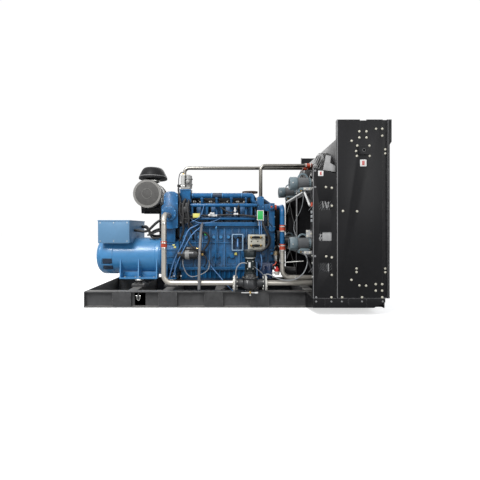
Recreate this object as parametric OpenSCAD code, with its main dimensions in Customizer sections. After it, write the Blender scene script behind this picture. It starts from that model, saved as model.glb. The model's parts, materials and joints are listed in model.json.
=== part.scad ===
// Gas engine generator set on a steel skid with an electrically fanned radiator.
// Millimetres, +Z up, +X from the alternator to the radiator, the viewer's side is -Y.

/* [Skid] */
// Length of the skid rails
skid_l = 3408; // [3350:1:3450]
// Width over the skid rails
skid_w = 1120; // [1080:1:1160]
// Height of the skid rails
skid_h = 190; // [170:1:210]
// Width of a rail flange
rail_b = 92; // [80:1:110]
// Thickness of a rail flange
rail_tf = 12; // [8:0.5:16]
// Thickness of a rail web
rail_tw = 9; // [6:0.5:14]
// Radius of a foundation bolt hole
bolt_r = 11; // [8:0.5:14]
// Distance of the foundation bolt holes from the rail's end
bolt_in = 100; // [60:1:140]
// Width of a fork pocket box in the rail
pocket_w = 211; // [180:1:230]
// Pitch of the fork pocket boxes
pocket_pitch = 541; // [500:1:560]
// Width of a cross member
cross_b = 110; // [90:1:130]
// Wall of a cross member
cross_t = 8; // [5:0.5:12]

/* [Alternator] */
// Height of the shaft line above the floor
shaft_z = 570; // [555:1:600]
// Radius of the alternator frame
alt_r = 248; // [240:1:252]
// Length of the alternator frame
alt_l = 754; // [740:1:790]
// Length of the end cover
cover_l = 67; // [50:1:90]
// Length of the adapter bell
bell_l = 67; // [50:1:90]
// Height from the foot to the shaft line
foot_drop = 280; // [265:1:285]
// Half width over the alternator feet
foot_y = 273; // [265:1:290]
// Thickness of a foot plate
foot_t = 16; // [12:1:22]
// Length of a foot
foot_l = 477; // [440:1:500]
// Length of the terminal box
tbox_l = 393; // [360:1:400]
// Half width of the terminal box
tbox_y = 321; // [310:1:340]
// Height of the terminal box
tbox_h = 290; // [280:1:310]
// Depth that the terminal box straddles the frame
tbox_sink = 73; // [60:1:80]

/* [Engine] */
// Length of the flywheel housing
housing_l = 189; // [175:1:200]
// Radius of the flywheel housing
housing_r = 292; // [285:1:300]
// Cylinder pitch
cyl_pitch = 190; // [186:1:194]
// Half width of the crankcase
case_y = 232; // [222:1:240]
// Height of the crankcase above the shaft line
deck_h = 390; // [375:1:400]
// Depth of the crankcase below the shaft line
case_d = 160; // [150:1:170]
// Height of a cylinder head
head_h = 125; // [115:1:135]
// Half width of a cylinder head
head_y = 168; // [160:1:175]
// Height of a rocker cover
rocker_h = 165; // [155:1:172]
// Depth of the oil pan
pan_h = 165; // [155:1:172]
// Length of the gear cover
gear_l = 72; // [64:1:84]
// Radius of the intake manifold tube
intake_r = 33; // [28:1:38]
// Radius of the water rail
rail_r = 22; // [18:1:26]
// Radius of the exhaust manifold
exhaust_r = 58; // [50:1:64]
// Radius of the exhaust bore
exbore_r = 46; // [40:1:50]
// Radius of the exhaust flange
exflange_r = 112; // [104:1:120]

/* [Air intake] */
// Radius of the air cleaner
cleaner_r = 172; // [165:1:178]
// Length of the air cleaner
cleaner_l = 420; // [400:1:440]
// Radius of the rain cap
cap_r = 182; // [172:1:190]
// Height of the rain cap
cap_h = 185; // [175:1:200]

/* [Cooling pipes] */
// Radius of the coolant pipes
pipe_r = 30; // [27:0.5:32]
// Bend radius of the coolant pipes
bend_r = 90; // [80:1:100]
// Radius of the vent pipes
vent_r = 23; // [20:0.5:25]
// Wall of the hose couplings
hose_t = 6; // [4:0.5:8]
// Length of a hose coupling
hose_l = 82; // [70:1:90]
// Height of the main pipe above the skid
main_up = 108; // [104:1:116]
// Distance of the main pipe outside the middle
main_y = 592; // [585:1:600]
// Radius of a pump flange
flange_r = 87; // [82:0.5:92]
// Thickness of a pump flange
flange_t = 18; // [14:0.5:22]
// Length over the pump flanges
pump_l = 345; // [330:1:360]
// Radius of the pump motor
pmotor_r = 59; // [54:1:64]

/* [Radiator] */
// Half width of the radiator
rad_y = 920; // [900:1:930]
// Top of the radiator above the floor
rad_top = 2085; // [2060:1:2100]
// Length of the radiator box
rad_l = 544; // [530:1:556]
// Depth of the core guard
guard_d = 34; // [26:1:40]
// Height of the guard's closed header
header_h = 255; // [240:1:270]
// Depth of the fold in the side panel
fold_d = 16; // [10:1:22]
// Reach of the lifting lug outside the side panel
lug_d = 26; // [20:1:34]
// Height of the fan plate above the upper fan rings
plate_up = 50; // [40:1:60]
// Length of the fan box
fan_l = 254; // [245:1:265]
// Height of the fan box side panel
fan_h = 1287; // [1260:1:1310]
// Radius of a fan
fan_r = 345; // [330:1:360]
// Blades on a fan
fan_blades = 7; // [5:1:9]
// Half width of the space between the two columns of fans
fan_mid = 26; // [20:1:30]
// Height of the lower fans
fan_z = 746; // [735:1:755]
// Height between the lower and the upper fans
fan_rise = 724; // [718:1:730]
// Radius of a fan motor cowl
fmotor_r = 80; // [74:1:86]
// Length of a fan motor
fmotor_l = 254; // [240:1:262]
// Thickness of the sheet panels
sheet = 6; // [4:0.5:8]
// Height of the radiator base channel
base_h = 100; // [90:1:110]

/* [Hidden] */
$fn = 64;
c = 0.3;
skid_x = -1708;
skid_end = skid_x + skid_l;
alt_x = -1727;
frame_x = alt_x + cover_l;
frame_end = frame_x + alt_l;
bell_end = frame_end + bell_l;
block_x = bell_end + housing_l;
block_l = 6 * cyl_pitch + 12;
block_end = block_x + block_l;
gear_end = block_end + gear_l;
foot_z = shaft_z - foot_drop;
foot_x = frame_end - foot_l - 17;
deck_z = shaft_z + deck_h;
head_z = deck_z + head_h;
rocker_z = head_z + rocker_h;
case_z = shaft_z - case_d;
pan_z = case_z - pan_h;
tbox_x = frame_x + 12;
tbox_z = shaft_z + alt_r - tbox_sink;
main_z = skid_h + main_up;
rad_end = 1727 - guard_d;
rad_x = rad_end - rad_l;
fan_x = rad_x - fan_l;
fan_top = skid_h + fan_h;
pump_x = 242;
plenum_x = -852;
mixer_x = -632;
thermo_x = 352;
left_x = plenum_x + 92;
ped_h = 34;
mount_y = 225;
front_y = 262;
alt_mount_x = foot_x + foot_l / 2;
rear_mount_x = bell_end + housing_l / 2;
front_mount_x = block_end - 200;
mounts = [[alt_mount_x, mount_y], [rear_mount_x, mount_y], [front_mount_x, front_y]];
cross_xs = [alt_mount_x, rear_mount_x, -120, front_mount_x, fan_x + 60];
exhaust_x = 281;
exhaust_top = 1460;
cleaner_x = -1054;
cleaner_z = 1375;
cleaner_y = -250;
intake_y = -190;
intake_z = rocker_z + 106;
riser_x = gear_end + 70;
riser_y = -430;
riser_z = skid_h + 144;
vent_a = [-560, -60, 1735];
fmotor_x = rad_x - 428;
hub_x = fmotor_x + fmotor_l + c;
ring_x = rad_x - sheet - 60;
fan_y = (rad_y - sheet + fan_mid) / 2;
ring_r = fan_r + 14;
vent_y = -195;
vent_z = fan_z + fan_rise + sqrt(pow(ring_r + vent_r + 4, 2) - pow(fan_y + vent_y, 2));
vent_b = [398, vent_y, vent_z];
plate_top = fan_z + fan_rise + ring_r + plate_up;
thermo_z = intake_z - 26;
drop_x = 300;
drop_z = intake_z - 97;

// Plan shapes and runs
module rounded(w, h, r) {
    translate([r, 0]) square([w - 2 * r, h]);
    translate([0, r]) square([w, h - 2 * r]);
    for (x = [r, w - r], y = [r, h - r])
        translate([x, y]) circle(r, $fn = 32);
}
module run_x(x, l) { translate([x, 0, 0]) rotate([90, 0, 90]) linear_extrude(l) children(); }
module run_y(y, l) { translate([0, y + l, 0]) rotate([90, 0, 0]) linear_extrude(l) children(); }
module rod_x(p, l, r) { translate(p) rotate([0, 90, 0]) cylinder(h = l, r = r); }
module rod_y(p, l, r) { translate(p) rotate([-90, 0, 0]) cylinder(h = l, r = r); }
module rod_z(p, l, r) { translate(p) cylinder(h = l, r = r); }
module block(x, y, z) {
    translate([x[0], y[0], z[0]]) cube([x[1] - x[0], y[1] - y[0], z[1] - z[0]]);
}
// A quarter bend whose centre lines meet at p, coming along a and leaving along b
module elbow(p, a, b, r, bend) {
    n = cross(-b, a);
    o = p - a * bend + b * bend;
    multmatrix([[-b.x, a.x, n.x, o.x], [-b.y, a.y, n.y, o.y], [-b.z, a.z, n.z, o.z], [0, 0, 0, 1]])
        rotate_extrude(angle = 90) translate([bend, 0]) circle(r, $fn = 48);
}
module sleeve_z(p, r) {
    translate(p) difference() {
        cylinder(h = hose_l, r = r + c + hose_t);
        translate([0, 0, -1]) cylinder(h = hose_l + 2, r = r + c);
    }
}
module sleeve_x(p, r) { translate(p) rotate([0, 90, 0]) sleeve_z([0, 0, 0], r); }

// Skid
module rail_section() {
    h = skid_h;
    square([rail_b, rail_tf]);
    translate([0, h - rail_tf]) square([rail_b, rail_tf]);
    translate([(rail_b - rail_tw) / 2, rail_tf - 1]) square([rail_tw, h - 2 * rail_tf + 2]);
}
module rail() {
    difference() {
        run_x(skid_x, skid_l) rail_section();
        for (x = [skid_x + bolt_in, skid_end - bolt_in])
            rod_z([x, rail_b / 4 - rail_tw / 4, -1], rail_tf + 2, bolt_r);
    }
    for (i = [0:3])
        block([pocket_x(i), pocket_x(i) + pocket_w], [2, rail_b - 2], [rail_tf - 1, skid_h - rail_tf + 1]);
    for (x = [skid_x, skid_end - 12])
        block([x, x + 12], [0, rail_b], [0, skid_h]);
    difference() {
        block([skid_x + 392, skid_x + 404], [2, rail_b / 2], [rail_tf - 1, skid_h - rail_tf + 1]);
        rod_x([skid_x + 390, rail_b / 4, skid_h - 50], 20, 14);
    }
}
function pocket_x(i) = -1371 + i * pocket_pitch;
module skid_rail_near() { color("dimgray") translate([0, -skid_w / 2, 0]) rail(); }
module skid_rail_far() { color("dimgray") mirror([0, 1, 0]) translate([0, -skid_w / 2, 0]) rail(); }
module skid_cross_members() {
    y = skid_w / 2 - rail_b - c;
    color("dimgray") {
        for (x = cross_xs)
            translate([0, -y, 0]) rotate([-90, 0, 0]) linear_extrude(2 * y) difference() {
                translate([x - cross_b / 2, -skid_h]) square([cross_b, skid_h - 20]);
                translate([x - cross_b / 2 + cross_t, cross_t - skid_h]) square([cross_b - 2 * cross_t, skid_h - 20 - 2 * cross_t]);
            }
        for (x = [skid_x, skid_end - rail_tf])
            block([x, x + rail_tf], [-y, y], [0, skid_h]);
        for (m = mounts, s = [-1, 1])
            translate([m.x - 80, s * m.y - 55, skid_h + c]) cube([160, 110, ped_h - c]);
    }
}
module gusset(x) {
    y = skid_w / 2 + c;
    run_x(x, 12) polygon([[y, 12], [y, skid_h - 12], [rad_y, skid_h - 12], [rad_y, skid_h - base_h], [rad_y - 40, skid_h - base_h]]);
}
module outriggers() {
    y = skid_w / 2 + c;
    x1 = rad_end - 33;
    for (x = [fan_x, fan_x + 250, fan_x + 500, rad_end - 53])
        gusset(x);
    block([fan_x, x1], [y, rad_y], [skid_h - 12, skid_h]);
    run_y(rad_y - 10, 10) polygon([
        [fan_x, skid_h - base_h], [x1 - 120, skid_h - base_h], [x1, skid_h - 40], [x1, skid_h - 11], [fan_x, skid_h - 11]]);
    for (x = [fan_x + 120, fan_x + 370, fan_x + 560])
        block([x, x + 8], [rad_y - 1, rad_y + 8], [skid_h - base_h + 4, skid_h - 11]);
}
module outriggers_far() { color("dimgray") outriggers(); }
module outriggers_near() { color("dimgray") mirror([0, 1, 0]) outriggers(); }

// Mounts
module vibration_mounts() {
    h = foot_z - skid_h - ped_h;
    color("black") for (m = mounts, s = [-1, 1])
        translate([m.x, s * m.y, skid_h + ped_h + c]) rotate_extrude()
            polygon([[0, 0], [46, 0], [46, 6], [36, 14], [36, h - 14], [44, h - 6], [44, h - 2 * c], [0, h - 2 * c]]);
}

// Alternator
module alternator_frame() {
    color("royalblue") {
        difference() {
            translate([frame_x, 0, shaft_z]) rotate([0, 90, 0]) rotate_extrude() polygon([
                [0, 0], [alt_r, 0], [alt_r, 150], [alt_r - 8, 158], [alt_r - 8, alt_l - 60],
                [alt_r, alt_l - 52], [alt_r, alt_l], [0, alt_l]]);
            for (s = [-1, 1], a = [16, 36], k = [-2:2])
                translate([frame_x, 0, shaft_z]) rotate([-s * a, 0, 0])
                    translate([18, s * (alt_r - 14) - 24, k * 13 - 4.5]) cube([118, 48, 9]);
        }
        for (s = [-1, 1]) {
            block([foot_x, foot_x + foot_l], [s > 0 ? 150 : -foot_y, s > 0 ? foot_y : -150], [foot_z, foot_z + foot_t]);
            for (x = [foot_x, foot_x + foot_l / 2 - 7, foot_x + foot_l - 14])
                difference() {
                    run_x(x, 14) polygon([
                        [s * 160, foot_z + foot_t - 1], [s * (foot_y - 4), foot_z + foot_t - 1],
                        [s * 250, shaft_z - 40], [s * 160, shaft_z - 40]]);
                    rod_x([x - 1, 0, shaft_z], 16, alt_r - 14);
                }
        }
    }
}
module alternator_end_cover() {
    color("royalblue") translate([frame_x - c, 0, shaft_z]) rotate([0, -90, 0]) rotate_extrude()
        polygon([[0, 0], [alt_r - 4, 0], [alt_r - 4, 18], [alt_r - 30, cover_l - 14], [110, cover_l - 14], [96, cover_l - c], [0, cover_l - c]]);
}
module alternator_adapter() {
    color("royalblue") translate([frame_end + c, 0, shaft_z]) rotate([0, 90, 0]) rotate_extrude()
        polygon([[0, 0], [alt_r - 4, 0], [alt_r - 4, 12], [alt_r - 22, 18], [housing_r - 40, bell_l - 16], [housing_r, bell_l - 14], [housing_r, bell_l - 2 * c], [0, bell_l - 2 * c]]);
}
module terminal_box() {
    top = tbox_z + tbox_h;
    color("skyblue") difference() {
        union() {
            run_y(-tbox_y, 2 * tbox_y) translate([tbox_x, tbox_z]) rounded(tbox_l, tbox_h - 6, 10);
            block([tbox_x - 4, tbox_x + tbox_l + 4], [-tbox_y - 4, tbox_y + 4], [top - 14, top]);
            for (s = [-1, 1])
                block([tbox_x + 14, tbox_x + tbox_l - 14], [s > 0 ? tbox_y - 1 : -tbox_y - 3, s > 0 ? tbox_y + 3 : 1 - tbox_y],
                    [tbox_z + 14, top - 22]);
        }
        rod_x([tbox_x - 1, 0, shaft_z], tbox_l + 2, alt_r + c);
    }
}

// Engine
module flywheel_housing() {
    r = housing_r;
    color("royalblue") {
        translate([bell_end, 0, shaft_z]) rotate([0, 90, 0]) rotate_extrude() polygon([
            [0, 0], [r, 0], [r, 16], [r - 20, 24], [r - 26, housing_l - 16], [r - 36, housing_l], [0, housing_l]]);
        for (a = [0:18:359])
            translate([bell_end, 0, shaft_z]) rotate([a, 0, 0]) run_y(-5, 10)
                polygon([[15, r - 40], [15, r - 4], [housing_l - 20, r - 22], [housing_l - 20, r - 40]]);
        for (s = [-1, 1])
            block([rear_mount_x - 70, rear_mount_x + 70], [s > 0 ? 150 : -290, s > 0 ? 290 : -150], [foot_z, foot_z + foot_t]);
        for (s = [-1, 1], x = [rear_mount_x - 60, rear_mount_x + 46])
            difference() {
                run_x(x, 14) polygon([
                    [s * 150, foot_z + foot_t - 1], [s * 286, foot_z + foot_t - 1],
                    [s * 262, shaft_z - 60], [s * 150, shaft_z - 120]]);
                rod_x([x - 1, 0, shaft_z], 16, r - 40);
            }
    }
}
module engine_block() {
    y1 = case_y - 24;
    color("royalblue") {
        difference() {
            run_x(block_x + c, block_l - c) polygon([
                [-case_y, case_z], [case_y, case_z], [case_y, case_z + 26], [y1, case_z + 34],
                [y1, shaft_z + 70], [190, shaft_z + 150], [190, deck_z - 34], [200, deck_z - 26],
                [200, deck_z], [-200, deck_z], [-200, deck_z - 26], [-190, deck_z - 34],
                [-190, shaft_z + 150], [-y1, shaft_z + 70], [-y1, case_z + 34], [-case_y, case_z + 26]]);
            for (s = [-1, 1], i = [0:5])
                translate([block_x + 44 + i * cyl_pitch, s * y1, case_z + 60]) rotate([90, 0, 0])
                    translate([0, 0, -12]) linear_extrude(24) rounded(cyl_pitch - 78, 96, 20);
        }
        for (s = [-1, 1], i = [0:6])
            run_x(block_x + 6 + i * cyl_pitch * 0.994, 16) polygon([
                [s * 180, case_z + 20], [s * (case_y - 4), case_z + 20], [s * (case_y - 6), shaft_z + 74],
                [s * 202, shaft_z + 154], [s * 200, deck_z - 30], [s * 180, deck_z - 30]]);
        for (s = [-1, 1], i = [0:5]) {
            x = block_x + 14 + (i + 0.5) * cyl_pitch;
            run_x(x - 6, 12) polygon([
                [s * 180, shaft_z + 60], [s * (y1 + 8), shaft_z + 60], [s * 200, shaft_z + 150],
                [s * 200, deck_z - 30], [s * 180, deck_z - 30]]);
            for (dx = [-46, 46])
                rod_y([x + dx, s > 0 ? 180 : -202, shaft_z + 250], 22, 26);
            rod_y([x, s > 0 ? 180 : -y1 - 10, shaft_z + 8], y1 - 170, 30);
        }
        for (s = [-1, 1])
            block([block_x + 8, block_end - 8], [s > 0 ? 180 : -202, s > 0 ? 202 : -180], [shaft_z + 168, shaft_z + 182]);
        frame_cover();
        for (s = [-1, 1]) {
            block([front_mount_x - 60, front_mount_x + 60], [s > 0 ? 212 : -312, s > 0 ? 312 : -212], [foot_z, foot_z + foot_t]);
            for (x = [front_mount_x - 52, front_mount_x + 36])
                run_x(x, 16) polygon([
                    [s * 204, case_z + 20], [s * 204, case_z + 90], [s * (case_y + 16), case_z + 90],
                    [s * 306, foot_z + foot_t - 1], [s * (case_y + 2), foot_z + foot_t - 1], [s * (case_y + 2), case_z + 20]]);
        }
    }
}
// An upright frame round an open recess beside the ignition box
module frame_cover() {
    run_y(-case_y - 26, 72) difference() {
        translate([23, shaft_z + 84]) rounded(151, 194, 14);
        translate([41, shaft_z + 70]) rounded(115, 190, 10);
    }
}
module oil_pan() {
    w = 186;
    n = 17;
    color("royalblue") {
        block([block_x + 10, block_end - 10], [-case_y + 6, case_y - 6], [case_z - 14, case_z - c]);
        run_x(block_x + 20, block_l - 40) polygon([
            [-w, case_z - 13], [w, case_z - 13], [w, pan_z + 50], [w - 40, pan_z], [40 - w, pan_z], [-w, pan_z + 50]]);
        for (s = [-1, 1], i = [1:n])
            rod_z([block_x + 28 + i * (block_l - 40) / (n + 1), s * (w - 4), pan_z + 46], case_z - pan_z - 56, 20);
        rod_y([block_end - 120, -w - 22, pan_z + 40], 30, 16);
    }
}
module cylinder_heads() {
    color("royalblue") for (i = [0:5]) {
        x = block_x + 6 + i * cyl_pitch;
        translate([x + 6, -head_y, deck_z + c]) linear_extrude(head_h - c) rounded(cyl_pitch - 12, 2 * head_y, 16);
        translate([x + 12, 12 - head_y, head_z - 1]) linear_extrude(13) rounded(cyl_pitch - 24, 2 * head_y - 24, 16);
        run_x(x + 20, cyl_pitch - 40) polygon([
            [-140, head_z + 11], [140, head_z + 11], [134, rocker_z - 30], [96, rocker_z], [-96, rocker_z], [-134, rocker_z - 30]]);
        rod_z([x + cyl_pitch / 2, -70, rocker_z - 1], 61, 24);
    }
}
module intake_manifold() {
    x0 = mixer_x + 132 + c;
    bend = intake_r + 7;
    color("royalblue") {
        rod_x([x0, intake_y, intake_z], drop_x - bend - x0, intake_r);
        elbow([drop_x, intake_y, intake_z], [1, 0, 0], [0, 0, -1], intake_r, bend);
        rod_z([drop_x, intake_y, drop_z + bend], intake_z - drop_z - 2 * bend, intake_r);
        elbow([drop_x, intake_y, drop_z], [0, 0, -1], [1, 0, 0], intake_r, bend);
        rod_x([drop_x + bend, intake_y, drop_z], thermo_x - c - drop_x - bend, intake_r);
        rod_x([x0, intake_y, intake_z], 12, intake_r + 9);
        for (i = [1:4]) {
            x = block_x + 6 + (i + 0.5) * cyl_pitch;
            rod_z([x, intake_y, head_z - 70], intake_z - head_z + 70, 17);
            rod_z([x, intake_y, intake_z - intake_r - 14], 20, 24);
            block([x - 34, x + 34], [intake_y - 20, -head_y - c], [head_z - 60, head_z - 10]);
        }
    }
}
module fluid_rails() {
    y = -head_y - 78;
    color("royalblue") {
        rod_x([block_x + 40, y, rocker_z - 23], 960, rail_r);
        rod_x([block_x + 40, y, head_z - 27], 960, rail_r - 3);
        for (i = [0:4]) {
            x = block_x + 6 + (i + 0.86) * cyl_pitch;
            rod_z([x, y, head_z - 27], rocker_z - head_z + 4, 12);
            rod_y([x, y, head_z - 27], 78 - c, 12);
        }
        block([block_x + 60, block_end - 60], [-head_y - 66, -head_y - c], [deck_z + c, deck_z + 52]);
    }
}
module exhaust_manifold() {
    y = head_y + 110;
    z = deck_z + 70;
    color("saddlebrown") difference() {
        union() {
            rod_x([block_x + 20, y, z], block_l - 60, exhaust_r);
            for (i = [0:5])
                rod_y([block_x + 6 + (i + 0.5) * cyl_pitch, head_y + c, z], 110, 32);
            rod_z([exhaust_x, y, z], exhaust_top - 20 - z, exhaust_r - 6);
            rod_z([exhaust_x, y, exhaust_top - 22], 22, exflange_r);
        }
        rod_z([exhaust_x, y, z + 40], exhaust_top, exbore_r);
        for (a = [22.5:45:360])
            rotate_about([exhaust_x, y, 0], a) rod_z([exflange_r - 18, 0, exhaust_top - 30], 40, 8);
    }
}
module rotate_about(p, a) { translate(p) rotate([0, 0, a]) children(); }
module gear_cover() {
    color("royalblue") {
        run_x(block_end + c, gear_l - c) polygon([
            [-225, case_z - 10], [225, case_z - 10], [225, shaft_z + 120], [170, deck_z + 40], [120, head_z + 60],
            [-60, head_z + 170], [-228, head_z + 170], [-232, deck_z], [-225, shaft_z + 120]]);
        for (y = [-238, 226])
            block([block_end + c, gear_end - 10], [y, y + 12], [shaft_z - 60, shaft_z + 100]);
        translate([gear_end - 1, -60, shaft_z + 250]) rotate([0, 90, 0]) rotate_extrude()
            polygon([[0, 0], [104, 0], [104, 12], [84, 22], [58, 30], [44, 46], [0, 46]]);
        block([thermo_x, thermo_x + 86], [-head_y - 66, 10 - head_y], [head_z + c, thermo_z]);
        block([thermo_x + 80, block_end + 10], [-head_y - 56, -head_y], [head_z + 70, head_z + 160]);
        rod_z([vent_b.x, vent_b.y, thermo_z - 1], 12, vent_r + 12);
        rod_y([block_end + 30, -262, head_z + 120], 40, 34);
        rod_y([block_end + 36, -256, deck_z - 30], 40, 40);
    }
}
module crank_pulley() {
    groove = [[132, 20], [132, 24], [120, 30], [132, 36], [120, 42], [132, 48], [120, 54], [132, 60], [120, 66], [132, 72], [132, 82]];
    color("dimgray") {
        difference() {
            translate([gear_end + c, 0, shaft_z]) rotate([0, 90, 0]) rotate_extrude()
                polygon(concat([[0, 0], [60, 0], [60, 20]], groove, [[60, 82], [60, 70], [0, 70]]));
            for (a = [0:60:359])
                translate([gear_end, 0, shaft_z]) rotate([a, 0, 0]) rod_x([-1, 0, 96], 90, 16);
        }
        difference() {
            rod_x([gear_end + 45 + c, -60, shaft_z + 250], 40, 88);
            rod_x([gear_end + 60, -60, shaft_z + 250], 40, 70);
        }
    }
}
module starter_motor() {
    z = shaft_z + 33;
    color("black") {
        translate([block_x + c, -298, z]) rotate([0, 90, 0]) rotate_extrude() polygon([
            [0, 0], [50, 0], [50, 30], [44, 62], [60, 66], [60, 196], [63, 198], [63, 206], [60, 208],
            [56, 252], [40, 258], [0, 258]]);
        rod_x([block_x + 78, -298, z + 73], 142, 26);
        rod_x([block_x + 218, -298, z + 73], 12, 18);
        block([block_x + 84, block_x + 210], [-312, -284], [z + 40, z + 70]);
        block([block_x + 80, block_x + 230], [-260, 4 - case_y - c], [z - 23, z + 23]);
    }
}
module oil_filters() {
    color("navy") {
        for (x = [420, 495])
            translate([x, -290, 300]) rotate_extrude()
                polygon([[0, 0], [30, 0], [42, 8], [45, 20], [45, 148], [38, 150], [38, 159], [0, 159]]);
        block([372, 500], [-318, 4 - case_y - c], [458, 500]);
        block([499, 540], [-318, -245], [458, 492]);
    }
}
module ignition_unit() {
    color("wheat") {
        run_y(-330, 80) translate([230, 666]) rounded(214, 188, 10);
        run_y(-336, 8) translate([240, 676]) rounded(194, 168, 8);
        block([244, 430], [-251, -202 - c], [760, 840]);
        run_y(-318, 46) translate([344, 1033]) rounded(81, 123, 8);
        block([360, 410], [-273, -head_y - 66 - c], [965, 1050]);
    }
}

// Air intake
module air_cleaner() {
    r = cleaner_r;
    l = cleaner_l;
    color("slategray") {
        translate([cleaner_x, cleaner_y, cleaner_z]) rotate([-90, 0, 0]) rotate_extrude() polygon([
            [0, 8], [52, 8], [58, 0], [r - 40, 0], [r - 34, 6], [r - 22, 6], [r, 24], [r, 60], [r - 8, 66],
            [r - 8, l - 60], [r, l - 54], [r, l - 12], [r - 12, l], [0, l]]);
        rod_x([cleaner_x + 60, -150, cleaner_z - 65], plenum_x + 30 - c - cleaner_x - 60, 60);
        rod_x([cleaner_x + 150, -150, cleaner_z - 65], 14, 68);
    }
}
module air_cleaner_bracket() {
    color("dimgray") difference() {
        union() {
            for (y = [-70, 52])
                run_y(y, 8) polygon([
                    [cleaner_x - 90, shaft_z], [cleaner_x + 90, shaft_z],
                    [cleaner_x + 140, cleaner_z - 20], [cleaner_x - 140, cleaner_z - 20]]);
            block([cleaner_x - 80, cleaner_x + 80], [-70, 60], [shaft_z + alt_r + 40, shaft_z + alt_r + 48]);
        }
        rod_x([cleaner_x - 300, 0, shaft_z], 600, alt_r + c);
        rod_y([cleaner_x, -300, cleaner_z], 600, cleaner_r - 8 + c);
    }
}
module rain_cap() {
    z = cleaner_z + cleaner_r - 8;
    r = cap_r;
    color("black") translate([cleaner_x + 39, cleaner_y + 150, 0]) difference() {
        rotate_extrude() polygon([
            [0, z - 60], [76, z - 60], [76, z + 8], [82, z + 8], [82, z + 22], [76, z + 22], [76, z + 34],
            [r - 22, z + 34], [r - 22, z + 24], [r - 4, z + 20], [r, z + 28], [r, z + 58], [r - 10, z + 72],
            [r - 20, z + 100], [r - 44, z + 146], [96, z + cap_h - 8], [70, z + cap_h], [0, z + cap_h]]);
        translate([-cleaner_x - 39, -cleaner_y - 150, 0])
            rod_y([cleaner_x, cleaner_y - 10, cleaner_z], cleaner_l + 20, cleaner_r - 8 + c);
    }
}
module mixer_housing() {
    color("royalblue") {
        run_y(-300, 230) union() {
            translate([plenum_x, 935]) rounded(194, 300, 50);
            translate([plenum_x + 30, 1050]) rounded(164, 340, 60);
        }
        for (y = [-302, -196, -82])
            run_y(y, 12) union() {
                translate([plenum_x - 6, 929]) rounded(206, 312, 54);
                translate([plenum_x + 24, 1044]) rounded(176, 352, 64);
            }
        rod_y([left_x, -322, 1120], 30, 92);
        block([mixer_x, mixer_x + 132], [-262, -118], [1258, 1428]);
        block([mixer_x - 5, mixer_x + 137 - c], [-267, -113], [1416, 1428]);
        block([plenum_x + 100, mixer_x + 20], [-250, -130], [1270, 1380]);
        difference() {
            block([plenum_x + 40, plenum_x + 150], [-210, -90], [shaft_z + 150, 940]);
            rod_x([plenum_x, 0, shaft_z], 300, housing_r - 16 + c);
        }
    }
}
module gas_valve() {
    z = 1428 + c;
    color("silver") {
        translate([mixer_x + 6, -254, z]) linear_extrude(24) rounded(120, 134, 12);
        translate([mixer_x + 6, -250, z + 23]) linear_extrude(167) rounded(58, 120, 14);
        translate([mixer_x + 98, -190, z + 20]) rotate_extrude() polygon([
            [0, 0], [46, 0], [46, 40], [54, 42], [54, 54], [46, 56], [46, 110], [54, 112], [54, 124],
            [46, 126], [46, 160], [30, 172], [0, 174]]);
    }
}

// Sweeps a round tube along a list of points
function unit(v) = v / norm(v);
function mix(a, b, t) = a * (1 - t) + b * t;
function spline(p, t) = len(p) == 1 ? p[0]
    : mix(spline([for (i = [0:len(p) - 2]) p[i]], t), spline([for (i = [1:len(p) - 1]) p[i]], t), t);
module tube(path, r, n = 10) {
    last = len(path) - 1;
    dirs = [for (i = [0:last]) unit(path[min(i + 1, last)] - path[max(i - 1, 0)])];
    side = [for (d = dirs) unit(cross(abs(d.z) > 0.95 ? [1, 0, 0] : [0, 0, 1], d))];
    pts = [for (i = [0:last], k = [0:n - 1])
        path[i] + r * (side[i] * cos(360 * k / n) + cross(dirs[i], side[i]) * sin(360 * k / n))];
    faces = concat(
        [[for (k = [0:n - 1]) k]],
        [[for (k = [0:n - 1]) last * n + n - 1 - k]],
        [for (i = [0:last - 1], k = [0:n - 1])
            [i * n + k, (i + 1) * n + k, (i + 1) * n + (k + 1) % n, i * n + (k + 1) % n]]);
    polyhedron(pts, faces);
}
module hose(points, r, steps) { tube([for (i = [0:steps]) spline(points, i / steps)], r); }

// Cooling circuit
module coolant_pipe_left() {
    p = [left_x, -main_y, main_z];
    x1 = pump_x - pump_l / 2 - flange_t - c;
    color("silver") {
        rod_y([left_x, -main_y + bend_r, 1095], main_y - bend_r - 322 - c, pipe_r);
        elbow([left_x, -main_y, 1095], [0, -1, 0], [0, 0, -1], pipe_r, bend_r);
        rod_z([left_x, -main_y, main_z + bend_r], 1095 - main_z - 2 * bend_r, pipe_r);
        elbow(p, [0, 0, -1], [1, 0, 0], pipe_r, bend_r);
        rod_x([left_x + bend_r, -main_y, main_z], x1 - left_x - bend_r, pipe_r);
        rod_x([x1 - 1, -main_y, main_z], flange_t + 1, flange_r);
    }
}
module coolant_pipe_right() {
    x0 = pump_x + pump_l / 2 + c;
    color("silver") {
        rod_x([x0, -main_y, main_z], flange_t, flange_r);
        rod_x([x0 + flange_t - 1, -main_y, main_z], rad_x - sheet - x0 - flange_t + 1 - c, pipe_r);
    }
}
module coolant_riser() {
    z = head_z + 115;
    color("silver") {
        rod_x([gear_end + c, -190, z], riser_x - 60 - gear_end - c, pipe_r);
        elbow([riser_x, -190, z], [1, 0, 0], [0, -1, 0], pipe_r, 60);
        rod_y([riser_x, riser_y + bend_r, z], -250 - riser_y - bend_r, pipe_r);
        elbow([riser_x, riser_y, z], [0, -1, 0], [0, 0, -1], pipe_r, bend_r);
        rod_z([riser_x, riser_y, riser_z + bend_r], z - riser_z - 2 * bend_r, pipe_r);
        elbow([riser_x, riser_y, riser_z], [0, 0, -1], [1, 0, 0], pipe_r, bend_r);
        rod_x([riser_x + bend_r, riser_y, riser_z], rad_x - sheet - c - riser_x - bend_r, pipe_r);
    }
}
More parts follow.
